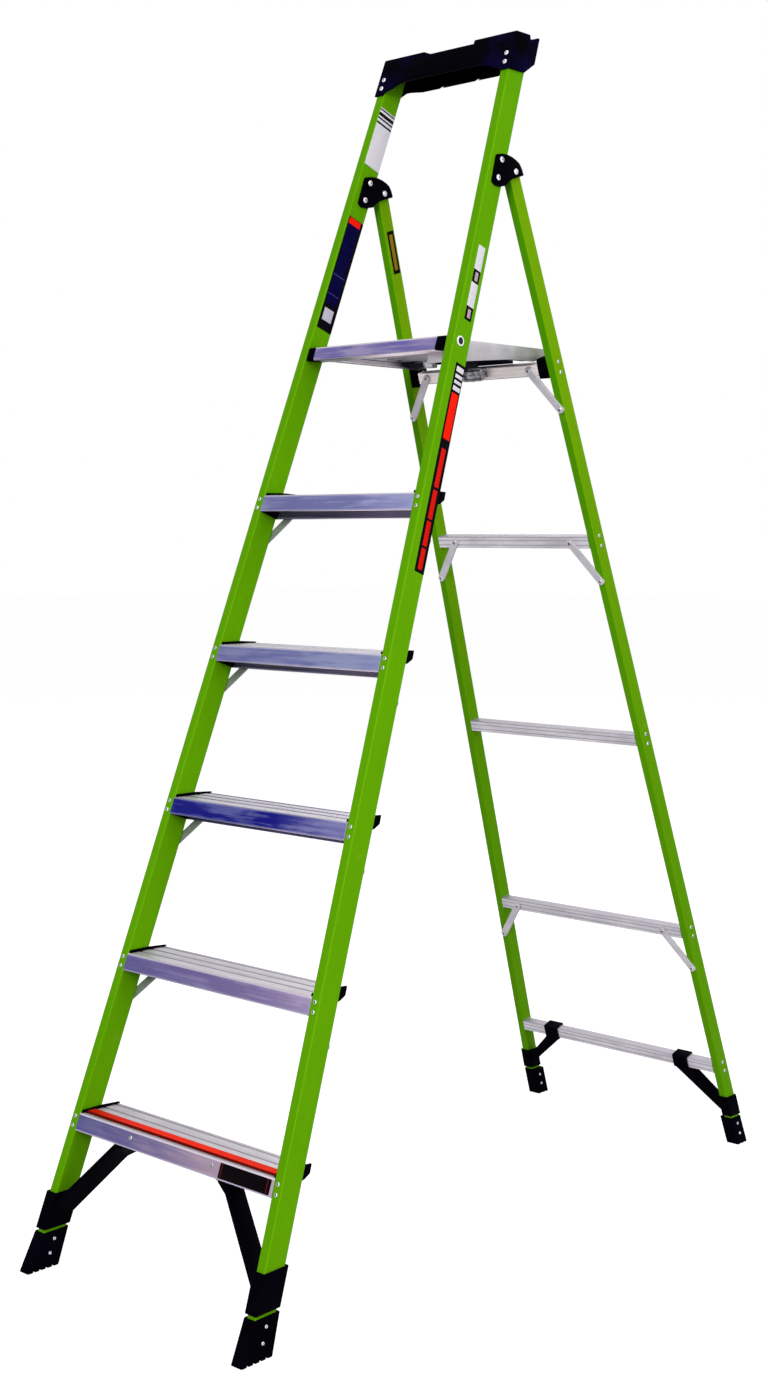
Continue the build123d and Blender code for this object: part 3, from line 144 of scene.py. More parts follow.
@dataclass
class NodeSheet:
    """A node tree with short calls that add and join nodes."""

    tree: bpy.types.NodeTree

    def add(self, kind: str, *values: object, **settings: object) -> bpy.types.Node:
        """Add a node.

        Args:
            kind: Blender's name of the node type.
            *values: Values of its first inputs, in order; None leaves an input as it is.
            **settings: Properties set on the node.

        Returns:
            The new node.
        """
        node = self.tree.nodes.new(kind)
        for name, value in settings.items():
            setattr(node, name, value)
        for socket, value in zip(node.inputs, values):
            if value is not None:
                self.feed(socket, value)
        return node

    def find(self, kind: str) -> bpy.types.Node:
        """The tree's first node of a type."""
        return next(n for n in self.tree.nodes if n.type == kind)

    def feed(self, socket: Socket, value: object) -> None:
        """Link a socket to an input, or set the input.

        Args:
            socket: The input.
            value: A socket, a number, a vector or a linear colour.
        """
        if isinstance(value, Socket):
            self.tree.links.new(value, socket)
        elif isinstance(value, tuple) and socket.type == "RGBA":
            socket.default_value = (*value, 1.0)
        else:
            socket.default_value = value

    def fill(self, node: bpy.types.Node, values: dict[str, object]) -> None:
        """Feed a node's inputs by name."""
        for name, value in values.items():
            self.feed(node.inputs[name], value)

    def math(self, operation: str, first: object, second: object = 0.0) -> Socket:
        """Result of a math operation on two sockets or numbers."""
        return self.add("ShaderNodeMath", first, second, operation=operation).outputs[0]

    def scaled(self, mask: Socket, share: float) -> Socket:
        """A mask times a number."""
        return self.math("MULTIPLY", mask, share)

    def ramp(self, value: Socket, start: float, end: float, low: float = 0.0, high: float = 1.0) -> Socket:
        """Value mapped from start and end to low and high, and held there."""
        return self.add("ShaderNodeMapRange", value, start, end, low, high).outputs[0]

    def mix(self, share: Socket, first: object, second: object) -> Socket:
        """Mix of two colours, each a socket or a linear colour, by the share of the second."""
        return self.add("ShaderNodeMix", share, *BEFORE_COLOURS, first, second, data_type="RGBA").outputs[2]

    def noise(self, vector: Socket, scale: Socket, detail: float) -> Socket:
        """Value of layered noise at a scale, with a number of finer layers."""
        return self.add("ShaderNodeTexNoise", vector, None, scale, detail).outputs[0]


def mask_group(name: str, vectors: Sequence[str], numbers: Sequence[str]) -> NodeSheet:
    """Start a shader node group that puts out one mask.

    Args:
        name: The group's name.
        vectors: Names of its vector inputs.
        numbers: Names of its number inputs.

    Returns:
        The group's sheet.
    """
    tree = bpy.data.node_groups.new(name, "ShaderNodeTree")
    for kind, names in (("NodeSocketVector", vectors), ("NodeSocketFloat", numbers)):
        for socket in names:
            tree.interface.new_socket(socket, in_out="INPUT", socket_type=kind)
    tree.interface.new_socket("Mask", in_out="OUTPUT", socket_type="NodeSocketFloat")
    return NodeSheet(tree)


@cache
def streak_group() -> bpy.types.NodeTree:
    """Drawn-out noise: the coordinates are multiplied by Stretch before the noise.

    Returns:
        The group, with Vector, Stretch and Scale in and Mask out.
    """
    sheet = mask_group("drawn_streaks", ["Vector", "Stretch"], ["Scale"])
    given = sheet.add("NodeGroupInput").outputs
    drawn = sheet.add("ShaderNodeVectorMath", given["Vector"], given["Stretch"], operation="MULTIPLY")
    noise = sheet.noise(drawn.outputs[0], given["Scale"], detail=4.0)
    sheet.add("NodeGroupOutput", sheet.ramp(noise, *NOISE_ENDS))
    return sheet.tree


@cache
def scuff_group() -> bpy.types.NodeTree:
    """Sparse rubbed marks: two noises multiplied and cut off, so only their peaks stay.

    Returns:
        The group, with Vector, Scale and Cut in and Mask out.
    """
    sheet = mask_group("rubbed_marks", ["Vector"], ["Scale", "Cut"])
    given = sheet.add("NodeGroupInput").outputs
    broad = sheet.noise(given["Vector"], given["Scale"], detail=2.0)
    fine = sheet.noise(given["Vector"], sheet.scaled(given["Scale"], SCUFF_FINER), detail=6.0)
    excess = sheet.math("SUBTRACT", sheet.math("MULTIPLY", broad, fine), given["Cut"])
    sheet.add("NodeGroupOutput", sheet.ramp(excess, 0.0, SCUFF_FULL))
    return sheet.tree


class MaterialSheet(NodeSheet):
    """Node sheet of a new material, with its shader and coordinates at hand."""

    def __init__(self, name: str, lean: float = 0.0) -> None:
        """Make the material.

        Args:
            name: The material's name.
            lean: Angle in degrees about X by which the coordinates of its effects are turned.
        """
        self.material = bpy.data.materials.new(name)
        self.material.use_nodes = True
        super().__init__(self.material.node_tree)
        self.shader = self.find("BSDF_PRINCIPLED")
        self.places = self.add("ShaderNodeTexCoord")
        mapping = self.add("ShaderNodeMapping")
        turn = (math.radians(lean), 0.0, 0.0)
        self.fill(mapping, {"Vector": self.places.outputs["Object"], "Rotation": turn})
        self.vector = mapping.outputs["Vector"]

    def axis(self, output: str, letter: str) -> Socket:
        """X, Y or Z of the object's places, for Object, or of its normals, for Normal."""
        return self.add("ShaderNodeSeparateXYZ", self.places.outputs[output]).outputs[letter]

    def facing(self, pick: Facing) -> Socket:
        """Mask of the faces that look one way."""
        letter, start, end = pick.value
        return self.ramp(self.axis("Normal", letter), start, end)

    def effect(self, tree: bpy.types.NodeTree, *values: object) -> Socket:
        """Mask of a shared effect, from the values of its inputs after the coordinates."""
        return self.add("ShaderNodeGroup", self.vector, *values, node_tree=tree).outputs["Mask"]

    def streaks(self, scale: float, stretch: Triple = (1.0, 1.0, 1.0)) -> Socket:
        """Mask of drawn-out noise, or of even grain where nothing is stretched."""
        return self.effect(streak_group(), stretch, scale)

    def scuffs(self, scale: float, share: float, cut: float = 0.36) -> Socket:
        """Mask of rubbed marks, times a share."""
        return self.scaled(self.effect(scuff_group(), scale, cut), share)

    def coat(
        self,
        colour: Socket,
        mask: Socket,
        rough: Span,
        gloss: float,
        bump: Span,
        metal: float = 0.0,
        haze: Socket | None = None,
    ) -> Material:
        """Feed the shader.

        Args:
            colour: Base colour.
            mask: Mask of the fine structure, which gives relief and roughness.
            rough: Roughness where the mask is zero and where it is one.
            gloss: Level of the plain reflection.
            bump: Strength of the relief, and its height in metres.
            metal: Share of metal.
            haze: Mask that gives the roughness in place of the first.

        Returns:
            The finished material.
        """
        relief = self.add("ShaderNodeBump")
        self.fill(relief, {"Strength": bump[0], "Distance": bump[1], "Height": mask})
        values = {
            "Base Color": colour,
            "Roughness": self.ramp(haze or mask, 0.0, 1.0, *rough),
            "Metallic": metal,
            "Specular IOR Level": gloss,
            "Normal": relief.outputs["Normal"],
        }
        self.fill(self.shader, values)
        return self.material


# Finishes


@dataclass(frozen=True)
class Finish:
    """A material with a Principled shader fed by masks on Object coordinates.

    Attributes:
        lean: Lean of its piece in degrees, which the effects follow.
    """

    name: str
    lean: float = field(default=0.0, kw_only=True)

    @cache
    def material(self) -> Material:
        """The finish's material, made once."""
        return self.paint(MaterialSheet(self.name, self.lean))

    def paint(self, sheet: MaterialSheet) -> Material:
        """Feed a new material, each kind of finish in its own way."""
        raise NotImplementedError


@dataclass(frozen=True)
class FibreglassFinish(Finish):
    """Pultruded rail: lengthwise fibre streaks under a satin coloured skin, with painted shading that
    differs between the front and the sides and changes with height.

    Attributes:
        deep: Colour between the fibres.
        shading_climb: Heights in metres between which the painted shading changes.
    """

    # Colours of the front and the sides, low and high: painted shading, as light falls differently on each
    # face and height
    front: Colour = srgb(89, 153, 2)
    front_high_shading: Colour = srgb(84, 144, 1)
    side: Colour = srgb(97, 163, 1)
    side_high_shading: Colour = srgb(94, 160, 1)
    deep: Colour = srgb(70, 132, 0)
    worn: Colour = srgb(130, 180, 40)
    shading_climb: Span = (0.9, 1.7)

    def paint(self, sheet: MaterialSheet) -> Material:
        """Feed the material.

        Args:
            sheet: The material's sheet.

        Returns:
            The material.
        """
        fibres = sheet.streaks(scale=420.0, stretch=(1.0, 1.0, 0.02))
        cloud = sheet.streaks(scale=26.0, stretch=(1.0, 1.0, 0.25))
        # Painted shading: the colour shifts with height and between the front and the sides
        height = sheet.ramp(sheet.axis("Object", "Z"), *self.shading_climb)
        side_shading = sheet.ramp(sheet.math("ABSOLUTE", sheet.axis("Normal", "X")), 0.5, 0.8)
        plain = sheet.mix(height, self.front, self.front_high_shading)
        skin = sheet.mix(side_shading, plain, sheet.mix(height, self.side, self.side_high_shading))
        between = sheet.math("ADD", sheet.scaled(fibres, 0.12), sheet.scaled(cloud, 0.16))
        body = sheet.mix(between, skin, self.deep)
        colour = sheet.mix(sheet.scuffs(scale=11.0, share=0.2), body, self.worn)
        return sheet.coat(colour, fibres, rough=(0.36, 0.5), gloss=0.02, bump=(0.2, 0.0002), haze=cloud)


@dataclass(frozen=True)
class MouldingFinish(Finish):
    """Moulded black plastic or rubber with a fine spark-eroded grain and a faint blue sheen."""

    dark: Colour = srgb(3, 2, 6)
    sheen: Colour = srgb(6, 4, 14)
    worn: Colour = srgb(18, 16, 24)
    scale: float = 900.0
    rough: Span = (0.42, 0.6)
    depth: float = 0.00012

    def paint(self, sheet: MaterialSheet) -> Material:
        """Feed the material.

        Args:
            sheet: The material's sheet.

        Returns:
            The material.
        """
        grain = sheet.streaks(self.scale)
        cloud = sheet.ramp(sheet.streaks(scale=11.0), 0.45, 1.0)
        body = sheet.mix(cloud, self.dark, self.sheen)
        colour = sheet.mix(sheet.scuffs(scale=16.0, share=0.2), body, self.worn)
        return sheet.coat(colour, grain, self.rough, gloss=0.004, bump=(0.3, self.depth))


@dataclass(frozen=True, kw_only=True)
class AluminiumFinish(Finish):
    """Mill-finish extrusion: die lines, cloudy oxide and a shaded underside.

    Attributes:
        under: Colour of the faces that look down.
        rough: Roughness between and on the die lines.
        relief: Strength of the die lines.
    """

    bright: Colour = srgb(196, 192, 198)
    dull: Colour = srgb(172, 167, 176)
    under: Colour = srgb(120, 116, 128)
    metal: float = 0.55
    rough: Span = (0.36, 0.5)
    gloss: float = 0.3
    relief: float = 0.25

    def paint(self, sheet: MaterialSheet) -> Material:
        """Feed the material.

        Args:
            sheet: The material's sheet.

        Returns:
            The material.
        """
        lines = sheet.streaks(scale=520.0, stretch=(0.03, 1.0, 1.0))
        cloud = sheet.streaks(scale=34.0, stretch=(0.4, 1.0, 1.0))
        share = sheet.math("ADD", sheet.scaled(lines, 0.3), sheet.scaled(cloud, 0.7))
        colour = self.shade(sheet, sheet.mix(share, self.dull, self.bright))
        return sheet.coat(colour, lines, self.rough, self.gloss, (self.relief, 0.0001), self.metal)

    def shade(self, sheet: MaterialSheet, metal: Socket) -> Socket:
        """Colour of the plain metal with its shaded underside."""
        return sheet.mix(sheet.facing(Facing.DOWN), metal, self.under)


@dataclass(frozen=True, kw_only=True)
class BarFinish(AluminiumFinish):
    """Bar extrusion with painted shade in the grooves of its front and on its top.

    Attributes:
        foot: Depth in metres where the plane of the bars' fronts meets the floor.
        groove: Colour of the painted shade in the grooves.
        sunk: Depths in metres behind the front where a groove starts and is full.
    """

    foot: float
    # Painted shade for the front's grooves
    groove: Colour = srgb(156, 151, 162)
    sunk: Span = (0.0002, 0.0005)
    relief: float = 0.15

    def shade(self, sheet: MaterialSheet, metal: Socket) -> Socket:
        """Colour of the metal with painted shade in the grooves and on the top.

        Args:
            sheet: The material's sheet.
            metal: Colour of the plain metal.

        Returns:
            The colour's socket.
        """
        depth = sheet.add("ShaderNodeSeparateXYZ", sheet.vector).outputs["Y"]
        plane = self.foot * math.cos(math.radians(self.lean))
        sunk = sheet.ramp(depth, *(plane + d for d in self.sunk))
        # Painted shade in the front's grooves, and the dull colour laid on the top faces as painted shade
        shaded_groove = sheet.math("MULTIPLY", sunk, sheet.facing(Facing.FRONT))
        return sheet.mix(sheet.facing(Facing.SHADED_BAR_TOP), sheet.mix(shaded_groove, metal, self.groove), self.dull)


@dataclass(frozen=True)
class StepFinish(AluminiumFinish):
    """Step extrusion: pale tread with painted shade in its grooves, an underside with painted shade and
    painted bounce light, and a front with painted shading, darker patches and painted highlights along its
    two edges.

    Attributes:
        dark_patch_share: Strength of the darker patches.
        dark_patch_end: Share of the length, from the left, where the patches have faded out.
        right_from: Share of half the length where the right colour of the painted shading is reached.
        edge_highlight_share: Strength of the painted highlights along the front's two edges.
        bounce_lit_underside: Colour of the painted bounce light at the underside's right end.
        bounce_light_span: Shares of half the length between which that painted light comes in.
        edge_highlight_drop: Depths in metres below the tread where the painted highlight on the upper edge
            starts and is full.
        hem_highlight: Colour of the painted highlight along the front's lower edge.
        hem_highlight_rise: Heights in metres above the underside where that highlight starts and is full.
        groove_drop: Depths in metres below the tread where a groove starts and is full.
        fade: Share of the length over which the patches fade.
    """

    # Colours of the front's two ends and of its darker patches: painted shading runs from the left end to
    # the right
    left: Colour
    right: Colour
    dark_patch: Colour
    dark_patch_share: float
    dark_patch_end: float
    right_from: float
    edge_highlight_share: float
    _: KW_ONLY
    top: float
    half: float
    height: float = 0.0305
    # Painted shade on the underside, giving way to painted bounce light towards its right end
    under: Colour = srgb(14, 12, 40)
    bounce_lit_underside: Colour = srgb(255, 236, 246)
    bounce_light_span: Span = (-0.5, 0.3)
    # Painted highlights along the front's upper and lower edges
    edge: Colour = srgb(206, 196, 208)
    edge_highlight_drop: Span = (0.0036, 0.002)
    hem_highlight: Colour = srgb(168, 162, 184)
    hem_highlight_rise: Span = (0.003, 0.0015)
    # Painted shade in the tread's grooves
    groove: Colour = srgb(138, 134, 142)
    groove_drop: Span = (0.0003, 0.0008)
    fade: float = 0.5
    rough: Span = (0.38, 0.52)
    gloss: float = 0.2
    relief: float = 0.1

    def front(self, sheet: MaterialSheet) -> Socket:
        """Colour of the step's front.

        Args:
            sheet: The material's sheet.

        Returns:
            The colour's socket.
        """
        place_x, rise = sheet.axis("Object", "X"), sheet.axis("Object", "Z")
        across = sheet.ramp(place_x, -self.half, self.half)
        rightward = sheet.ramp(place_x, -self.half, self.half * self.right_from)
        blotch = sheet.streaks(scale=30.0, stretch=(0.4, 1.0, 1.6))
        long_patches = sheet.streaks(scale=70.0, stretch=(0.12, 1.0, 2.5))
        marks = sheet.ramp(sheet.math("ADD", blotch, long_patches), 0.55, 1.15)
        fading = sheet.ramp(across, self.dark_patch_end, self.dark_patch_end - self.fade)
        share = sheet.scaled(sheet.math("MULTIPLY", marks, fading), self.dark_patch_share)
        # Painted shading from the left colour to the right, with the darker patches over it
        colour = sheet.mix(share, sheet.mix(rightward, self.left, self.right), self.dark_patch)
        low = self.top - self.height
        # Painted highlights along the front's lower and upper edges
        hem_highlight = sheet.ramp(rise, *(low + r for r in self.hem_highlight_rise), high=self.edge_highlight_share)
        edge = sheet.ramp(rise, *(self.top - d for d in self.edge_highlight_drop), high=self.edge_highlight_share)
        return sheet.mix(edge, sheet.mix(hem_highlight, colour, self.hem_highlight), self.edge)

    def shade(self, sheet: MaterialSheet, metal: Socket) -> Socket:
        """Colour of the tread with painted shade in its grooves, the underside with painted shade and
        painted bounce light, and the front.

        Args:
            sheet: The material's sheet.
            metal: Colour of the plain metal.

        Returns:
            The colour's socket.
        """
        # Painted shade in the tread's grooves
        sunk = sheet.ramp(sheet.axis("Object", "Z"), *(self.top - d for d in self.groove_drop))
        shaded_groove = sheet.math("MULTIPLY", sunk, sheet.facing(Facing.TREAD))
        tread = sheet.mix(shaded_groove, metal, self.groove)
        # Painted underside: shade at the left, painted bounce light towards the right end
        bounce_light_share = sheet.ramp(sheet.axis("Object", "X"), *(self.half * b for b in self.bounce_light_span))
        below = sheet.mix(bounce_light_share, self.under, self.bounce_lit_underside)
        colour = sheet.mix(sheet.facing(Facing.DOWN), tread, below)
        return sheet.mix(sheet.facing(Facing.FRONT), colour, self.front(sheet))


@dataclass(frozen=True)
class DeckFinish(AluminiumFinish):
    """Platform extrusion whose metal takes a colour of painted light over a stretch of its depth.

    Attributes:
        stretch: Depths in metres where the tint starts and is full.
        pick: Faces that take it.
        lighting_tint: Colour over the stretch: painted shade on the deck and the left plate, the green
            rail's painted reflection on the right plate.
        ribs: Heights in metres of the darker lines along its side.
        rib_colour: Colour of those lines.
        rib_half: Distances in metres from a line's middle where it starts and is full.
    """

    stretch: Span
    pick: Facing = Facing.NOT_UP
    # Default colour over the stretch: painted shade
    lighting_tint: Colour = srgb(16, 12, 34)
    _: KW_ONLY
    ribs: tuple[float, ...] = ()
    rib_colour: Colour = srgb(112, 106, 122)
    rib_half: Span = (0.0012, 0.0006)
    rough: Span = (0.34, 0.5)
    gloss: float = 0.2
    relief: float = 0.2

    def shade(self, sheet: MaterialSheet, metal: Socket) -> Socket:
        """Colour of the metal with its underside, lines and the painted light colour over the stretch.

        Args:
            sheet: The material's sheet.
            metal: Colour of the plain metal.

        Returns:
            The colour's socket.
        """
        colour = super().shade(sheet, metal)
        for rib in self.ribs:
            away = sheet.math("ABSOLUTE", sheet.math("SUBTRACT", sheet.axis("Object", "Z"), rib))
            colour = sheet.mix(sheet.ramp(away, *self.rib_half), colour, self.rib_colour)
        # Painted light colour over a stretch of depth on the picked faces
        depth = sheet.ramp(sheet.axis("Object", "Y"), *self.stretch)
        return sheet.mix(sheet.math("MULTIPLY", depth, sheet.facing(self.pick)), colour, self.lighting_tint)


@dataclass(frozen=True)
class SteelFinish(Finish):
    """Set rivet, pin or catch: steel with dull spots and, on a rivet, a dark middle.

    Attributes:
        reach: Share of the radius that the middle takes, for heads that carry it.
        rim: Share of the radius over which the middle fades.
    """

    bright: Colour = srgb(232, 230, 234)
    dull: Colour = srgb(188, 186, 194)
    middle: Colour = srgb(44, 40, 52)
    reach: float = 0.0
    metal: float = 0.5
    rim: float = 0.08

    def paint(self, sheet: MaterialSheet) -> Material:
        """Feed the material.

        Args:
            sheet: The material's sheet.

        Returns:
            The material.
        """
        spots = sheet.streaks(scale=700.0)
        colour = sheet.mix(sheet.streaks(scale=120.0), self.dull, self.bright)
        if self.reach > 0.0:
            along = sheet.add("ShaderNodeAttribute", attribute_name="along").outputs["Fac"]
            colour = sheet.mix(sheet.ramp(along, self.reach + self.rim, self.reach), colour, self.middle)
        return sheet.coat(colour, spots, (0.28, 0.42), gloss=0.2, bump=(0.2, 0.0001), metal=self.metal)


@dataclass(frozen=True)
class PlasticFinish(Finish):
    """Coloured plastic with a faint flow pattern, rubbed marks, and painted shade on its front faces and at
    its left end.

    Attributes:
        front: Colour of the painted shade on the faces that look forwards and at the left end.
    """

    light: Colour = srgb(234, 38, 5)
    deep: Colour = srgb(222, 28, 2)
    worn: Colour = srgb(236, 84, 48)
    front: Colour = srgb(92, 10, 4)

    def paint(self, sheet: MaterialSheet) -> Material:
        """Feed the material.

        Args:
            sheet: The material's sheet.

        Returns:
            The material.
        """
        flow = sheet.streaks(scale=60.0, stretch=(0.2, 1.0, 1.0))
        body = sheet.mix(flow, self.deep, self.light)
        body = sheet.mix(sheet.scuffs(scale=22.0, share=0.3, cut=0.34), body, self.worn)
        # Painted shade: darker where the faces look forwards and towards the left end, where the end cap
        # shades the bar
        shade_share = sheet.math("ADD", sheet.axis("Normal", "Y"), sheet.axis("Object", "X"))
        colour = sheet.mix(sheet.ramp(shade_share, -0.1, -0.4), body, self.front)
        return sheet.coat(colour, flow, rough=(0.4, 0.55), gloss=0.02, bump=(0.15, 0.0002))


@dataclass(frozen=True)
class LabelFinish(Finish):
    """Printed vinyl: plain bands of colour along the label's length, slightly faded.

    Attributes:
        bands: Where each band starts, from zero to one, and its colour.
    """

    bands: Stops
    pale: Colour = srgb(120, 120, 120)
    worn: Colour = srgb(150, 148, 150)

    def paint(self, sheet: MaterialSheet) -> Material:
        """Feed the material.

        Args:
            sheet: The material's sheet.

        Returns:
            The material.
        """
        along = sheet.add("ShaderNodeAttribute", attribute_name="along").outputs["Fac"]
        ramp = sheet.add("ShaderNodeValToRGB", along)
        ramp.color_ramp.interpolation = "CONSTANT"
        points = ramp.color_ramp.elements
        while len(points) < len(self.bands):
            points.new(0.5)
        while len(points) > len(self.bands):
            points.remove(points[-1])
        for point, (start, colour) in zip(points, self.bands):
            point.position = start
            point.color = (*colour, 1.0)
        faded = sheet.streaks(scale=160.0)
        base = sheet.mix(sheet.scaled(faded, 0.006), ramp.outputs[0], self.pale)
        print_colour = sheet.mix(sheet.scuffs(scale=30.0, share=0.02), base, self.worn)
        return sheet.coat(print_colour, faded, rough=(0.35, 0.5), gloss=0.01, bump=(0.1, 0.0001))


# Surfaces


@dataclass
class Surface:
    """Vertices and faces of closed shapes, with a value along them for their material."""

    points: np.ndarray
    faces: list[tuple[int, ...]]
    along: np.ndarray


def ring_faces(rings: int, around: int) -> list[tuple[int, ...]]:
    """Faces between neighbouring rings of points, each ring closed on itself.

    Args:
        rings: Number of rings.
        around: Points in a ring.

    Returns:
        The four corners of each face.
    """
    level = np.arange(rings - 1)[:, None] * around
    here = level + np.arange(around)
    there = level + (np.arange(around) + 1) % around
    quads = np.stack([here, there, there + around, here + around], axis=-1)
    return [tuple(q) for q in quads.reshape(-1, 4).tolist()]


def rounded_plate(
    half_length: float, half_width: float, corner: float, thick: float, edge: float, steps: int
) -> Surface:
    """Plate with a rounded-rectangle outline and rounded top edge.

    The outline is a core rectangle's corner plus a radius in the direction of the
    angle; rings of that radius less an inset, at rising heights, form the wall and
    the rounded edge, and two flat lids close it.

    Args:
        half_length: Half of the length along local x.
        half_width: Half of the width along local y.
        corner: Radius of the outline's corners.
        thick: Height along local z.
        edge: Radius of the top edge.
        steps: Segments in each corner.

    Returns:
        The plate with its foot at z = 0.
    """
    turn = np.linspace(0.0, QUARTER, steps + 1)
    angle = (turn + np.arange(4)[:, None] * QUARTER).ravel()
    core_x = (half_length - corner) * np.repeat([1.0, -1.0, -1.0, 1.0], steps + 1)
    core_y = (half_width - corner) * np.repeat([1.0, 1.0, -1.0, -1.0], steps + 1)
    arc = np.linspace(0.0, QUARTER, EDGE_RINGS)
    radius = corner - np.concatenate([[0.0], edge * (1 - np.cos(arc))])[:, None]
    height = np.concatenate([[0.0], thick - edge + edge * np.sin(arc)])[:, None]
    grid = [core_x + radius * np.cos(angle), core_y + radius * np.sin(angle), height + np.zeros_like(angle)]
    points = np.stack(grid, axis=-1).reshape(-1, 3)
    around = len(angle)
    lids = [tuple(range(around))[::-1], tuple(range(len(points) - around, len(points)))]
    along = (points[:, 0] + half_length) / (2 * half_length)
    return Surface(points, ring_faces(len(height), around) + lids, along)


def revolved(profile: Sequence[Span], sides: int) -> Surface:
    """Surface of a (radius, height) profile turned about local z.

    Each profile point becomes a ring: radius times cosine and sine of the turn angle,
    at its height; a profile that starts and ends on the axis closes both poles. The
    value along it is the share of the largest radius.

    Args:
        profile: Points from the lower pole to the upper pole, in millimetres.
        sides: Points in a ring.

    Returns:
        The closed surface in metres.
    """
    shape = np.array(profile, float) * MM
    turn = np.arange(sides) * 2 * math.pi / sides
    radius, height = shape[1:-1, :1], shape[1:-1, 1:]
    grid = [radius * np.cos(turn), radius * np.sin(turn), height + np.zeros_like(turn)]
    rings = np.stack(grid, axis=-1).reshape(-1, 3)
    points = np.vstack([rings, [0.0, 0.0, shape[0, 1]], [0.0, 0.0, shape[-1, 1]]])
    low, high, last = len(rings), len(rings) + 1, len(rings) - sides
    steps = [(k, (k + 1) % sides) for k in range(sides)]
    faces = ring_faces(len(radius), sides)
    faces += [(low, after, k) for k, after in steps]
    faces += [(high, last + k, last + after) for k, after in steps]
    return Surface(points, faces, np.linalg.norm(points[:, :2], axis=1) / radius.max())


def moved(shape: Surface, origin: np.ndarray, axes: np.ndarray) -> Surface:
    """A shape put in place: its points are origin + x X + y Y + z Z, with the axes as rows."""
    return Surface(origin + shape.points @ axes, shape.faces, shape.along)


def joined(parts: Sequence[Surface]) -> Surface:
    """One surface from several.

    Args:
        parts: The surfaces.

    Returns:
        All of them in one, with their faces renumbered.
    """
    starts = np.cumsum([0] + [len(p.points) for p in parts])
    faces = [tuple(i + int(s) for i in f) for p, s in zip(parts, starts) for f in p.faces]
    points, along = (np.concatenate(values) for values in zip(*((p.points, p.along) for p in parts)))
    return Surface(points, faces, along)


def axes_from(normal: np.ndarray) -> np.ndarray:
    """Right-handed axes whose Z is a unit normal.

    Args:
        normal: The direction.

    Returns:
        Axes as rows, (3, 3).
    """
    guide = RIGHTWARD if abs(normal[0]) < NEARLY_PARALLEL else UPWARD
    across = np.cross(guide, normal)
    across /= np.linalg.norm(across)
    return np.stack([across, np.cross(normal, across), normal])


def islands(node: str) -> list[np.ndarray]:
    """Separate solids of a node, each as its corner points.

    Corners at the same place share a number; numbers then spread across each triangle
    until nothing changes, so each solid ends with one number.

    Args:
        node: The solid group's name.

    Returns:
        Points of each solid, (k, 3) arrays.
    """
    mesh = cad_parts[node].data
    flat = np.empty(len(mesh.vertices) * 3, np.float32)
    mesh.vertices.foreach_get("co", flat)
    corners = np.empty(len(mesh.loops), np.int32)
    mesh.loops.foreach_get("vertex_index", corners)
    points = np.round(flat.reshape(-1, 3).astype(float), WELD_DIGITS)
    shared = np.unique(points, axis=0, return_inverse=True)[1].ravel()
    triangles = shared[corners].reshape(-1, 3)
    label = np.arange(shared.max() + 1)
    while True:
        spread = label.copy()
        np.minimum.at(spread, triangles.ravel(), np.repeat(label[triangles].min(axis=1), 3))
        if np.array_equal(spread, label):
            break
        label = spread
    owner = label[shared]
    return [np.unique(points[owner == k], axis=0) for k in np.unique(owner)]


# Pieces


def cover(mesh: bpy.types.Mesh, finish: Finish) -> None:
    """Give a mesh one material."""
    mesh.materials.clear()
    mesh.materials.append(finish.material())


def dress(nodes: Sequence[str], finish: Finish) -> None:
    """Give solids that stay visible a finish.

    Args:
        nodes: Names of the solids.
        finish: Their finish.
    """
    for node in nodes:
        cover(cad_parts[node].data, finish)
        LOG.info("%s dressed in %s", node, finish.name)


def pair(*stems: str) -> list[str]:
    """Names of the left and the right solid of each pair."""
    return [f"{stem}_{side}" for stem in stems for side in ("left", "right")]


@dataclass(frozen=True)
class Part:
    """Role of a new piece: its body, material slot and finish, and the solid that it replaces, if any."""

    body: Body
    slot: Slot
    finish: Finish
    node: str = ""

    def adopt(self, piece: bpy.types.Object) -> None:
        """Link a piece, dress it and let it ride on its body.

        Args:
            piece: The new object.
        """
        bpy.context.scene.collection.objects.link(piece)
        cover(piece.data, self.finish)
        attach(piece, self.body.value)
        if self.node:
            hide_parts(self.node)
        LOG.info("%s rides on %s", piece.name, self.body.value)

    def place(self, name: str, surface: Surface) -> None:
        """Make the piece from a surface.

        Args:
            name: The piece's name.
            surface: Its shape in metres, in place.
        """
        mesh = bpy.data.meshes.new(name)
        mesh.from_pydata(surface.points.tolist(), [], surface.faces)
        attribute = mesh.attributes.new("along", "FLOAT", "POINT")
        attribute.data.foreach_set("value", surface.along.astype(np.float32))
        mesh.polygons.foreach_set("use_smooth", np.ones(len(mesh.polygons), bool))
        mesh.set_sharp_from_angle(angle=math.radians(SHARP_DEGREES))
        mesh.validate()
        mesh.update()
        self.adopt(bpy.data.objects.new(name, mesh))


def soften(
    nodes: Sequence[str], width: float, body: Body, slot: Slot, finish: Finish, segments: int = 3
) -> None:
    """Replace solids by copies whose sharp edges are rounded by a bevel.

    Args:
        nodes: Names of the solids.
        width: Width of the bevel in millimetres.
        body: The body they move with.
        slot: The record's material slot.
        finish: Their finish.
        segments: Segments across the bevel.
    """
    flat = math.radians(FLAT_DEGREES)
    for node in nodes:
        work = bmesh.new()
        work.from_mesh(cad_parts[node].data)
        bmesh.ops.remove_doubles(work, verts=work.verts, dist=WELD)
        bmesh.ops.dissolve_limit(work, angle_limit=flat, verts=work.verts, edges=work.edges)
        mesh = bpy.data.meshes.new(node + "_soft")
        work.to_mesh(mesh)
        work.free()
        mesh.polygons.foreach_set("use_smooth", np.ones(len(mesh.polygons), bool))
        piece = bpy.data.objects.new(node + "_soft", mesh)
        bevel = piece.modifiers.new("rounded_edges", "BEVEL")
        bevel.width = width * MM
        bevel.segments = segments
        bevel.limit_method = "ANGLE"
        bevel.angle_limit = math.radians(BEVEL_DEGREES)
        bevel.harden_normals = True
        Part(body, slot, finish, node).adopt(piece)


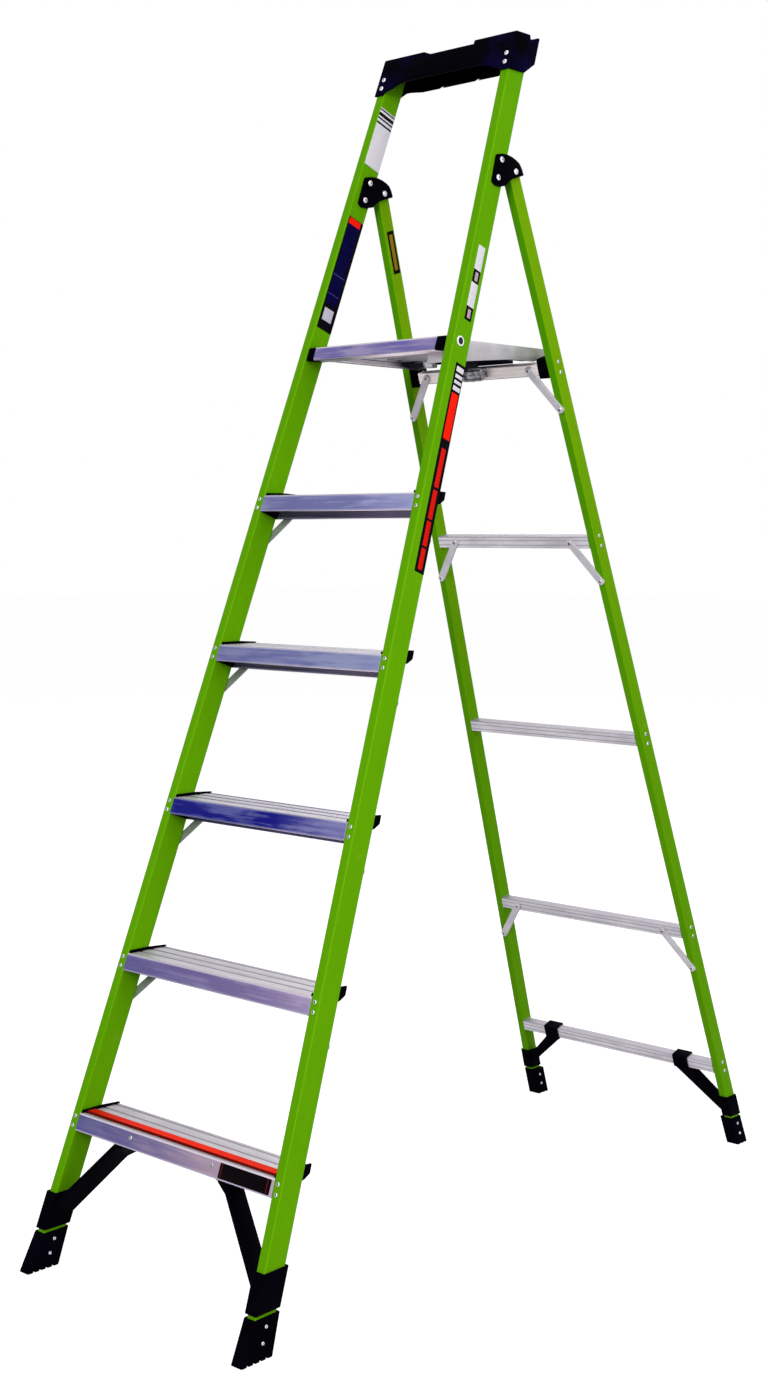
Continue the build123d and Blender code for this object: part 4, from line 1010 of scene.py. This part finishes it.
@dataclass
class Rail:
    """Frame of a leaning pair of rails, in millimetres.

    Attributes:
        foot: Depth where the rails' front meets the floor.
        lean: Lean in degrees, backwards for the front pair.
        half: Half-width over the rails at the floor.
        width: Width of a rail.
        taper: Taper of the pair in degrees.
    """

    foot: float
    lean: float
    half: float
    width: float
    taper: float = 3.042

    def axes(self) -> tuple[np.ndarray, np.ndarray]:
        """Unit vectors up the front of the rails and backwards off it."""
        sine, cosine = math.sin(math.radians(self.lean)), math.cos(math.radians(self.lean))
        return np.array([0.0, sine, cosine]), np.array([0.0, cosine, -sine])

    def spot(self, side: Side, face: Face, rise: float, setback: float) -> Spot:
        """Point on a long side of a rail and its axes.

        Args:
            side: Left or right rail.
            face: Outer or inner side.
            rise: Distance up the rail.
            setback: Distance behind the rail's front.

        Returns:
            The point in metres and axes with x up the rail, y across it and z off it.
        """
        taper = math.radians(self.taper)
        up, back = self.axes()
        outward = RIGHTWARD * side.value
        inset = 0.0 if face is Face.OUTER else self.width / math.cos(taper)
        reach = self.half - rise * math.tan(taper) - inset
        point = np.array([0.0, self.foot, 0.0]) + outward * reach + up * rise + back * setback
        along = up * math.cos(taper) - outward * math.sin(taper)
        off = (outward * math.cos(taper) + up * math.sin(taper)) * face.value
        return point * MM, np.stack([along, np.cross(off, along), off])

    def front_spot(self, across: float, rise: float) -> Spot:
        """Point in the plane of the pair's front and its axes.

        Args:
            across: Distance to the right of the middle.
            rise: Distance up the rails.

        Returns:
            The point in metres and axes with x to the right, y up the front and z off it.
        """
        up, _ = self.axes()
        point = np.array([across, self.foot, 0.0]) + up * rise
        return point * MM, np.stack([RIGHTWARD, up, np.cross(RIGHTWARD, up)])


@dataclass
class Sticker:
    """Plain vinyl sheet with bands of colour along its length, in millimetres."""

    name: str
    length: float
    width: float
    bands: Stops
    body: Body = Body.FRONT
    lift: float = 0.0
    thick: float = 0.35
    corner: float = 1.2
    edge: float = 0.1
    corner_steps: int = 6

    def stick(self, spot: Spot) -> None:
        """Build the sheet at a point.

        Args:
            spot: The sheet's middle in metres and its axes.
        """
        origin, axes = spot
        sizes = (self.length / 2, self.width / 2, self.corner, self.thick, self.edge)
        flat = rounded_plate(*(size * MM for size in sizes), steps=self.corner_steps)
        surface = moved(flat, origin + axes[2] * self.lift * MM, axes)
        Part(self.body, Slot.BLACK, LabelFinish(self.name + "_print", self.bands)).place(self.name, surface)


def stripes(ends: Span, ground: Colour, marks: Marks) -> Stops:
    """Bands of marks across a plain ground.

    Args:
        ends: Lower and upper end of the sheet.
        ground: Colour between the marks.
        marks: Colours, each with the lower and upper ends of its marks, upwards.

    Returns:
        The bands, with places from zero to one.
    """
    low, high = ends
    bands = {0.0: ground}
    for colour, spans in marks:
        for start, stop in spans:
            bands[(start - low) / (high - low)] = colour
            if stop < high:
                bands[(stop - low) / (high - low)] = ground
    return tuple(bands.items())


@dataclass
class Label:
    """Stickers in one frame on one long side of a rail, in millimetres."""

    name: str
    rail: Rail
    side: Side
    face: Face
    body: Body = Body.FRONT
    layer: float = 0.35

    def add(
        self, part: str, rises: Span, depths: Span, ground: Colour, marks: Marks = (), level: int = 0
    ) -> None:
        """Stick one sheet on the rail.

        Args:
            part: What the sheet is, for its name.
            rises: Lower and upper end along the rail.
            depths: Front and back edge behind the rail's front.
            ground: Its colour.
            marks: Colours and ends of the marks across it.
            level: How many sheets lie under it.
        """
        spot = self.rail.spot(self.side, self.face, sum(rises) / 2, sum(depths) / 2)
        length, width = rises[1] - rises[0], depths[1] - depths[0]
        bands, lift = stripes(rises, ground, marks), level * self.layer
        Sticker(f"{self.name}_{part}", length, width, bands, self.body, lift).stick(spot)


@dataclass
class SolidSet:
    """New shapes in place of each solid of a group, in millimetres."""

    ending: ClassVar[str]
    part: Part

    def build(self) -> None:
        """Build the piece that replaces the group."""
        shapes = [self.shaped(points) for points in islands(self.part.node)]
        self.part.place(self.part.node + self.ending, joined(shapes))

    def shaped(self, points: np.ndarray) -> Surface:
        """Shape in place of one solid, from the solid's corners."""
        raise NotImplementedError


@dataclass
class RivetSet(SolidSet):
    """Domed rivet heads that stand on the flat seats of their solids.

    Attributes:
        lip: Width of the ring around the dimple.
        fillet: Height of the slope at the dimple's floor.
        floor: Share of the dimple's radius that its floor takes.
    """

    ending: ClassVar[str] = "_domed"
    radius: float
    height: float = 2.2
    foot: float = 0.25
    dimple: float = 1.5
    lip: float = 0.5
    sink: float = 0.7
    fillet: float = 0.2
    floor: float = 0.8
    sides: int = 24

    def profile(self) -> list[Span]:
        """Head from its foot to the recessed stem.

        The dome is a quarter ellipse of the head's radius and height, cut at the dimple,
        whose floor lies a little lower.

        Returns:
            Points (radius, height).
        """
        arc = np.linspace(0.0, math.acos(min(1.0, (self.dimple + self.lip) / self.radius)), ARC_POINTS)
        rise = self.height - self.foot
        dome = [(self.radius * math.cos(a), self.foot + rise * math.sin(a)) for a in arc]
        low = dome[-1][1] - self.sink
        cup = [(self.dimple, low + self.fillet), (self.dimple * self.floor, low), (0.0, low)]
        return [(0.0, 0.0), (self.radius, 0.0), *dome, *cup]

    def shaped(self, points: np.ndarray) -> Surface:
        """Head on a solid's wide end, along the line to its narrow end.

        Args:
            points: The solid's corners.

        Returns:
            The head in place.
        """
        reach = np.linalg.norm(points - points.mean(axis=0), axis=1)
        wide = points[reach > reach.mean()].mean(axis=0)
        along = points[reach <= reach.mean()].mean(axis=0) - wide
        head = revolved(self.profile(), self.sides)
        return moved(head, wide, axes_from(along / np.linalg.norm(along)))


def rivets(body: Body, rows: Sequence[tuple[str, float, Finish]]) -> None:
    """Set rivet heads on one body, each row a group of solids, a radius and a finish."""
    for node, radius, finish in rows:
        RivetSet(Part(body, Slot.RIVET, finish, node), radius).build()


@dataclass
class PinSet(SolidSet):
    """Round pins with a domed head at each end, along their solids' X."""

    ending: ClassVar[str] = "_turned"
    shank: float = 3.9
    head: float = 5.9
    dome: float = 2.6
    sides: int = 24

    def shaped(self, points: np.ndarray) -> Surface:
        """Pin along a solid.

        The profile runs along the pin: a quarter ellipse for a head, the straight shank,
        and the same head again.

        Args:
            points: The solid's corners.

        Returns:
            The pin in place.
        """
        low, high = points.min(axis=0), points.max(axis=0)
        length = (high[0] - low[0]) / MM
        arc = np.linspace(0.0, QUARTER, ARC_POINTS)[1:]
        first = [(self.head * math.sin(a), self.dome * (1 - math.cos(a))) for a in arc]
        neck = [(self.shank, self.dome), (self.shank, length - self.dome)]
        last = [(r, length - h) for r, h in first[::-1]]
        pin = revolved([(0.0, 0.0), *first, *neck, *last, (0.0, length)], self.sides)
        return moved(pin, np.array([low[0], *(low[1:] + high[1:]) / 2]), axes_from(RIGHTWARD))


@dataclass
class BraceSet(SolidSet):
    """Flat pressed braces with round ends.

    Attributes:
        roundness: Radius of an end as a share of half the width.
    """

    ending: ClassVar[str] = "_pressed"
    edge: float = 0.8
    roundness: float = 0.98
    end_steps: int = 10

    def shaped(self, points: np.ndarray) -> Surface:
        """Rounded strip along a solid.

        The strip's axes are the solid's own: the longest spread of its corners, the next
        and the shortest, found from the spread matrix of its points.

        Args:
            points: The solid's corners.

        Returns:
            The strip in place.
        """
        middle = (points.max(axis=0) + points.min(axis=0)) / 2
        spread = np.linalg.eigh(np.cov((points - middle).T))[1]
        along, across = spread[:, 2], spread[:, 1]
        axes = np.stack([along, across, np.cross(along, across)])
        length, width, thick = np.ptp((points - middle) @ axes.T, axis=0) / 2
        end = width * self.roundness
        strip = rounded_plate(length, width, end, 2 * thick, self.edge * MM, self.end_steps)
        return moved(strip, middle - axes[2] * thick, axes)


# Rails and shared finishes

FRONT_RAIL = Rail(foot=-758.920, lean=20.127, half=295.8, width=20.0)
REAR_RAIL = Rail(foot=734.006, lean=-18.631, half=292.145, width=18.2)

FRONT_GREEN = FibreglassFinish("front_rail_fibreglass", lean=FRONT_RAIL.lean)
# The rear pair's colours carry painted shading: the front darker higher up, the outer side lighter higher
# up
REAR_GREEN = FibreglassFinish(
    "rear_rail_fibreglass",
    front=srgb(92, 158, 2),
    front_high_shading=srgb(76, 146, 1),
    side=srgb(92, 151, 1),
    side_high_shading=srgb(112, 160, 3),
    lean=REAR_RAIL.lean,
)
BLACK = MouldingFinish("black_nylon")
CAP_BLACK = MouldingFinish("cap_nylon", sheen=srgb(10, 6, 44))
RUBBER = MouldingFinish("foot_rubber", scale=600.0, rough=(0.55, 0.72), depth=0.0002)
PAINT = MouldingFinish("powder_coat", scale=1300.0, rough=(0.35, 0.5))
STEEL = SteelFinish("turned_pin")
DARK_STEEL = SteelFinish("dark_pin", srgb(12, 10, 26), srgb(5, 4, 12), metal=0.0)
# Near-white and near-black mottle for the catch parts: painted glints and shade among their small shapes
CATCH_METAL = SteelFinish("catch_metal", srgb(206, 202, 212), srgb(24, 20, 40))
RIVET = SteelFinish("set_rivet", reach=0.34)
DULL_RIVET = SteelFinish(
    "dull_rivet", srgb(206, 210, 208), srgb(150, 156, 152), srgb(34, 40, 36), reach=0.42
)
BRACE_RIVET = SteelFinish(
    "brace_rivet", srgb(214, 210, 216), srgb(150, 146, 156), srgb(40, 36, 62), reach=0.36
)
WHITE = SteelFinish(
    "bush_white", srgb(242, 241, 240), srgb(228, 227, 228), srgb(8, 6, 22), reach=0.66, metal=0.0
)


# Sub-assemblies


@dataclass
class FrontSection:
    """Front rails, steps, top cap, corner braces, feet and their small parts, in millimetres.

    Attributes:
        pivot: Distance up the rails and behind their front of the platform's pivot.
        bush: Profile of a pivot bush, as radius and height.
        looks: For each step upwards, the values that its front's finish lists first: the colours of the
            painted shading at both ends and of the darker patches, the patches' strength and reach, where
            the right colour is reached, and the strength of the painted edge highlights.
        plate: Left and right end of the plate on the lowest step, from the middle.
        plate_lines: Left and right end of the thin lines on it.
    """

    cap_edge: float = 2.6
    brace_edge: float = 1.4
    foot_edge: float = 1.4
    plate_edge: float = 1.0
    end_cap_edge: float = 0.9
    step_edge: float = 0.7
    first_step: float = 298.1
    step_pitch: float = 304.8
    pivot: Span = (1820.4, 18.5)
    bush: tuple[Span, ...] = (
        (0.0, 0.0), (9.6, 0.0), (9.6, 1.2), (9.0, 1.8), (7.0, 1.8), (6.4, 1.2), (6.0, 0.8), (0.0, 0.8)
    )
    bush_sides: int = 32
    # Per step: painted shading colours at both ends, darker patch colour, patch strength and reach, where
    # the right colour is reached, painted edge highlight strength
    looks: tuple[FrontLook, ...] = (
        (srgb(78, 80, 138), srgb(162, 142, 158), srgb(58, 60, 130), 0.55, 0.85, 0.3, 1.0),
        (srgb(92, 92, 146), srgb(154, 139, 168), srgb(84, 70, 126), 0.6, 1.2, 1.0, 0.7),
        (srgb(46, 58, 140), srgb(116, 114, 158), srgb(2, 6, 114), 1.0, 1.1, 1.0, 0.25),
        (srgb(118, 120, 164), srgb(126, 133, 164), srgb(76, 76, 138), 0.6, 1.2, 1.0, 0.5),
        (srgb(126, 129, 168), srgb(134, 138, 174), srgb(76, 74, 134), 0.6, 1.15, 1.0, 0.5),
    )
    plate: Span = (128.7, 254.5)
    plate_lines: tuple[Span, Span] = ((132.7, 134.7), (245.5, 247.5))
    plate_width: float = 26.5
    plate_rise: float = 281.5
    plate_thick: float = 0.6

    def build(self) -> None:
        """Build and dress the section."""
        dress(pair("front_rail"), FRONT_GREEN)
        self.bushes()
        PinSet(Part(Body.FRONT, Slot.RIVET, STEEL, "hinge_pins")).build()
        hinges = pair("hinge_plate_outer", "hinge_plate_inner")
        soften(hinges, self.plate_edge, Body.FRONT, Slot.PAINT, PAINT)
        self.steps()
        soften(["top_cap"], self.cap_edge, Body.FRONT, Slot.BLACK, CAP_BLACK)
        soften(pair("front_corner_brace"), self.brace_edge, Body.FRONT, Slot.BLACK, BLACK)
        soften(pair("step_end_caps"), self.end_cap_edge, Body.FRONT, Slot.BLACK, BLACK)
        soften(pair("front_foot"), self.foot_edge, Body.FRONT, Slot.RUBBER, RUBBER)
        rows = (
            ("step_rivets", 3.8, DULL_RIVET),
            ("knee_brace_rivets", 4.2, DULL_RIVET),
            ("top_cap_rivets", 4.6, RIVET),
            ("front_foot_rivets", 3.2, RIVET),
            ("hinge_rivets", 5.6, RIVET),
        )
        rivets(Body.FRONT, rows)
        self.left_labels()
        self.right_labels()
        self.step_plate()

    def bushes(self) -> None:
        """Build the white pivot bushes as rings around a dark middle."""
        ring = revolved(self.bush, self.bush_sides)
        for side, node in zip(Side, pair("pivot_bush")):
            spot = FRONT_RAIL.spot(side, Face.OUTER, *self.pivot)
            Part(Body.FRONT, Slot.WHITE, WHITE, node).place(node + "_ring", moved(ring, *spot))

    def steps(self) -> None:
        """Round the steps' edges, and dress the press bar and knee braces."""
        lean, taper = math.radians(FRONT_RAIL.lean), math.radians(FRONT_RAIL.taper)
        for number, look in enumerate(self.looks, 1):
            rise = self.first_step + (number - 1) * self.step_pitch
            top, half = rise * math.cos(lean) * MM, (FRONT_RAIL.half - rise * math.tan(taper)) * MM
            finish = StepFinish(f"step_extrusion_{number}", *look, top=top, half=half)
            soften([f"step_{number}"], self.step_edge, Body.FRONT, Slot.ALUMINIUM, finish, segments=2)
        dress(["ground_press_bar"], PlasticFinish("press_bar_orange"))
        # Darker, greener copy of the bare metal for the knee braces: painted shade with the green rails'
        # painted reflection
        brace = AluminiumFinish("knee_brace", bright=srgb(170, 176, 168), dull=srgb(140, 146, 142))
        for node in pair("knee_braces"):
            BraceSet(Part(Body.FRONT, Slot.ALUMINIUM, brace, node)).build()

    def left_labels(self) -> None:
        """Stick the plain labels on the left rail's inner side."""
        paper, ink, red = srgb(214, 210, 219), srgb(8, 6, 14), srgb(246, 28, 10)
        navy, rule, grey = srgb(6, 4, 54), srgb(60, 58, 122), srgb(182, 180, 194)
        rows = ((2313.5, 2317.5), (2323.0, 2326.5), (2330.0, 2336.5), (2341.5, 2344.5))
        pale = Label("pale_label", FRONT_RAIL, Side.LEFT, Face.INNER)
        pale.add("sheet", (2224.0, 2347.0), (1.8, 45.2), paper, [(ink, rows)])
        rules = ((1946.5, 1948.0), (1987.0, 1988.5))
        head = ((2096.532, 2110.0),)
        dark = Label("navy_label", FRONT_RAIL, Side.LEFT, Face.INNER)
        dark.add("sheet", (1873.5, 2111.5), (4.0, 45.4), ink)
        dark.add("field", (1928.0, 2110.0), (6.5, 38.5), navy, [(rule, rules), (red, head)], level=1)
        dark.add("patch", (1893.0, 1918.5), (10.5, 36.5), grey, level=1)

    def right_labels(self) -> None:
        """Stick the plain labels on the right rail's outer side."""
        paper, ink, blush = srgb(210, 206, 214), srgb(8, 6, 12), srgb(176, 150, 160)
        red, deep_red = srgb(240, 28, 10), srgb(206, 22, 10)
        squares, margin = ((1865.0, 1891.5), (1939.5, 1966.0)), 4.5
        strip = Label("strip_label", FRONT_RAIL, Side.RIGHT, Face.OUTER)
        strip.add("sheet", (1865.0, 2015.0), (16.8, 36.0), paper, [(ink, squares)])
        for number, (low, high) in enumerate(squares, 1):
            strip.add(f"inlay_{number}", (low + margin, high - margin), (22.5, 31.0), blush, level=1)
        bars = ((1735.5, 1740.5), (1746.5, 1751.5), (1758.5, 1763.5))
        gaps = ((1421.5, 1426.0), (1473.5, 1478.0), (1533.0, 1538.0))
        band = Label("band_label", FRONT_RAIL, Side.RIGHT, Face.OUTER)
        band.add("sheet", (1375.5, 1780.0), (19.0, 45.6), ink)
        band.add("pale_inlay", (1727.0, 1774.0), (23.5, 43.5), paper, [(ink, bars)], level=1)
        band.add("wide_inlay", (1632.0, 1722.0), (23.4, 42.2), red, level=1)
        band.add("long_inlay", (1382.0, 1614.0), (26.3, 37.9), deep_red, [(ink, gaps)], level=1)

    def step_plate(self) -> None:
        """Stick the plain dark plate on the lowest step's front."""
        low, high = self.plate
        ink, line = srgb(8, 5, 8), srgb(92, 22, 14)
        bands = stripes(self.plate, ink, [(line, self.plate_lines)])
        plate = Sticker("step_plate", high - low, self.plate_width, bands, thick=self.plate_thick)
        plate.stick(FRONT_RAIL.front_spot((low + high) / 2, self.plate_rise))


@dataclass
class RearSection:
    """Rear rails, bars, braces, feet and the platform catch, in millimetres."""

    brace_edge: float = 1.2
    block_edge: float = 1.5
    foot_edge: float = 1.4
    lever_edge: float = 0.5

    def build(self) -> None:
        """Build and dress the section."""
        dress(pair("rear_rail"), REAR_GREEN)
        self.bars()
        dress(["catch_housing"], CATCH_METAL)
        dress(["catch_pin"], STEEL)
        soften(["catch_lever"], self.lever_edge, Body.LEVER, Slot.BLACK, CATCH_METAL)
        soften(pair("rear_corner_brace"), self.brace_edge, Body.REAR, Slot.BLACK, BLACK)
        soften(pair("bar_end_block"), self.block_edge, Body.REAR, Slot.BLACK, BLACK)
        soften(pair("rear_foot"), self.foot_edge, Body.REAR, Slot.RUBBER, RUBBER)
        rows = (
            ("rear_bar_rivets", 4.0, DULL_RIVET),
            ("rear_brace_rivets", 5.6, BRACE_RIVET),
            ("rear_foot_rivets", 3.1, DULL_RIVET),
        )
        rivets(Body.REAR, rows)
        self.label()

    def bars(self) -> None:
        """Dress the bars, the top one paler as painted light, and build the flat braces."""
        bright, dull = srgb(216, 212, 220), srgb(167, 162, 172)
        foot = REAR_RAIL.foot * MM
        bar = BarFinish("bar_extrusion", bright=bright, dull=dull, lean=REAR_RAIL.lean, foot=foot)
        dress([f"rear_bar_{k}" for k in range(2, 6)], bar)
        # Paler copy of the metal for the top bar: painted light where the deck shades it
        pale = AluminiumFinish("shaded_bar", bright=srgb(250, 240, 240), dull=srgb(226, 214, 216))
        dress(["rear_bar_1"], pale)
        bare = AluminiumFinish("bare_extrusion")
        for level in ("upper", "middle", "lower"):
            BraceSet(Part(Body.REAR, Slot.ALUMINIUM, bare, f"rear_braces_{level}")).build()

    def label(self) -> None:
        """Stick the small plain label on the left rail."""
        small = Label("amber_label", REAR_RAIL, Side.LEFT, Face.INNER, Body.REAR)
        small.add("sheet", (1980.5, 2067.0), (7.2, 26.6), srgb(8, 6, 8))
        small.add("inlay", (1988.0, 2060.0), (12.0, 21.6), srgb(136, 106, 22), level=1)


@dataclass
class Platform:
    """Folding platform: nose, deck, side plates, pins and latch, in millimetres.

    Attributes:
        nose_look: The values that the nose's finish lists first, as for the steps: painted shading, darker
            patches and painted edge highlights.
    """

    edge: float = 0.6
    top: float = 1713.8
    nose_height: float = 26.5
    nose_half: float = 157.0
    # Nose front: painted shading, darker patches and painted edge highlights
    nose_look: FrontLook = (
        srgb(142, 133, 168), srgb(134, 124, 166), srgb(80, 72, 146), 0.75, 1.3, 1.0, 0.9
    )

    def build(self) -> None:
        """Build and dress the platform."""
        # Deck: near-white underside as painted bounce light, and painted shadow over the rear stretch of
        # its lower and side faces
        deck = DeckFinish("platform_deck_extrusion", (0.13, 0.17), under=srgb(255, 250, 255))
        dress(["platform_deck"], deck)
        dress(["catch_keeper", "platform_pins"], DARK_STEEL)
        top, height, half = self.top * MM, self.nose_height * MM, self.nose_half * MM
        nose = StepFinish("nose_extrusion", *self.nose_look, top=top, height=height, half=half)
        dress(["platform_nose"], nose)
        # Painted shade for the side plates' undersides
        shade = srgb(16, 12, 30)
        # Left plate: paler metal as painted light, and painted shade over the rear of its inner face and on
        # its underside
        left = DeckFinish(
            "left_side_plate",
            (0.06, 0.11),
            Facing.RIGHT,
            bright=srgb(252, 248, 254),
            dull=srgb(226, 220, 230),
            under=shade,
            ribs=(1.691, 1.6985),
        )
        # Right plate: the green rail's painted reflection over the rear of its outer face, and painted
        # shade on its underside
        right = DeckFinish("right_side_plate", (0.1, 0.18), Facing.RIGHT, srgb(150, 156, 144), under=shade)
        nodes = (*pair("platform_side"), "platform_latch_block")
        for node, finish in zip(nodes, (left, right, CATCH_METAL)):
            soften([node], self.edge, Body.PLATFORM, Slot.ALUMINIUM, finish, segments=2)
        soften(pair("nose_end_cap"), self.edge, Body.PLATFORM, Slot.BLACK, BLACK)


@dataclass
class Studio:
    """Camera, lights, floor and white surroundings, in metres.

    Attributes:
        floor_shade: Grey of the floor as it takes light.
        floor_glow: Brightness that the floor shows by itself.
        lamps: Name, place, side of the square and power in watts of each soft lamp.
    """

    camera_place: Triple = (2.4300, -2.7410, 1.3509)
    azimuth: float = 42.573
    elevation: float = 5.09
    lens: float = 47.678
    sensor: float = 36.0
    shift: Span = (-0.0025, -0.0004)
    room_light: float = 0.36
    floor_size: float = 30.0
    floor_shade: float = 0.35
    floor_glow: float = 0.86
    lamps: tuple[tuple[str, Triple, float, float], ...] = (
        ("key_lamp", (2.2, -5.0, 3.9), 3.0, 268.0),
        ("side_lamp", (4.6, 0.2, 2.4), 3.0, 102.0),
        ("back_lamp", (-2.4, 5.0, 2.6), 3.0, 80.0),
        ("top_lamp", (0.0, 0.2, 6.0), 4.0, 100.0),
    )
    aim: Triple = (0.0, 0.0, 1.0)

    def build(self) -> None:
        """Set the studio up."""
        self.camera()
        self.world()
        self.floor()
        self.light()
        bpy.context.scene.view_settings.view_transform = "Standard"

    @staticmethod
    def hang(name: str, data: bpy.types.ID, spot: Triple, ahead: Vector) -> bpy.types.Object:
        """Put a camera or a lamp in the scene.

        Args:
            name: Its name.
            data: The camera or light.
            spot: Its place.
            ahead: The direction that it faces.

        Returns:
            The new object.
        """
        thing = bpy.data.objects.new(name, data)
        thing.location = spot
        thing.rotation_euler = ahead.to_track_quat("-Z", "Y").to_euler()
        bpy.context.scene.collection.objects.link(thing)
        return thing

    def camera(self) -> None:
        """Place the camera at the photograph's viewpoint."""
        data = bpy.data.cameras.new("photo_camera")
        data.lens = self.lens
        data.sensor_width = self.sensor
        data.shift_x, data.shift_y = self.shift
        turn, tilt = math.radians(self.azimuth), math.radians(self.elevation)
        level = math.cos(tilt)
        ahead = Vector((-math.sin(turn) * level, math.cos(turn) * level, -math.sin(tilt)))
        bpy.context.scene.camera = self.hang("photo_camera", data, self.camera_place, ahead)

    @staticmethod
    def seen(sheet: NodeSheet) -> Socket:
        """Mask of the rays that look: from the camera, a reflection or a clear piece.

        Args:
            sheet: The node sheet.

        Returns:
            The mask's socket.
        """
        path = sheet.add("ShaderNodeLightPath").outputs
        looks = sheet.math("MAXIMUM", path["Is Camera Ray"], path["Is Glossy Ray"])
        return sheet.math("MAXIMUM", looks, path["Is Transmission Ray"])

    def world(self) -> None:
        """White to the eye and in reflections, softer as light."""
        world = bpy.data.worlds.new("white_room")
        world.use_nodes = True
        bpy.context.scene.world = world
        sheet = NodeSheet(world.node_tree)
        strength = sheet.ramp(self.seen(sheet), 0.0, 1.0, self.room_light, 1.0)
        sheet.fill(sheet.find("BACKGROUND"), {"Strength": strength, "Color": (1.0, 1.0, 1.0)})

    def floor(self) -> None:
        """White floor that keeps a faint shadow and sends little light back up."""
        reach = self.floor_size
        corners = [(-reach, -reach, 0.0), (reach, -reach, 0.0), (reach, reach, 0.0), (-reach, reach, 0.0)]
        mesh = bpy.data.meshes.new("studio_floor")
        mesh.from_pydata(corners, [], [(0, 1, 2, 3)])
        floor = bpy.data.objects.new("studio_floor", mesh)
        bpy.context.scene.collection.objects.link(floor)
        sheet = MaterialSheet("floor_white")
        values = {
            "Base Color": (self.floor_shade,) * 3,
            "Roughness": 0.9,
            "Specular IOR Level": 0.0,
            "Emission Color": (1.0, 1.0, 1.0),
            "Emission Strength": sheet.scaled(self.seen(sheet), self.floor_glow),
        }
        sheet.fill(sheet.shader, values)
        mesh.materials.append(sheet.material)

    def light(self) -> None:
        """Hang the square soft lamps, aimed at the ladder."""
        for name, spot, size, power in self.lamps:
            data = bpy.data.lights.new(name, "AREA")
            data.size = size
            data.energy = power
            self.hang(name, data, spot, Vector(self.aim) - Vector(spot))


def main() -> None:
    """Build the ladder's looks in order."""
    logging.basicConfig(level=logging.INFO, format="%(message)s")
    for assembly in (Studio(), FrontSection(), RearSection(), Platform()):
        assembly.build()
    bpy.context.view_layer.update()


if __name__ == "__main__":
    main()
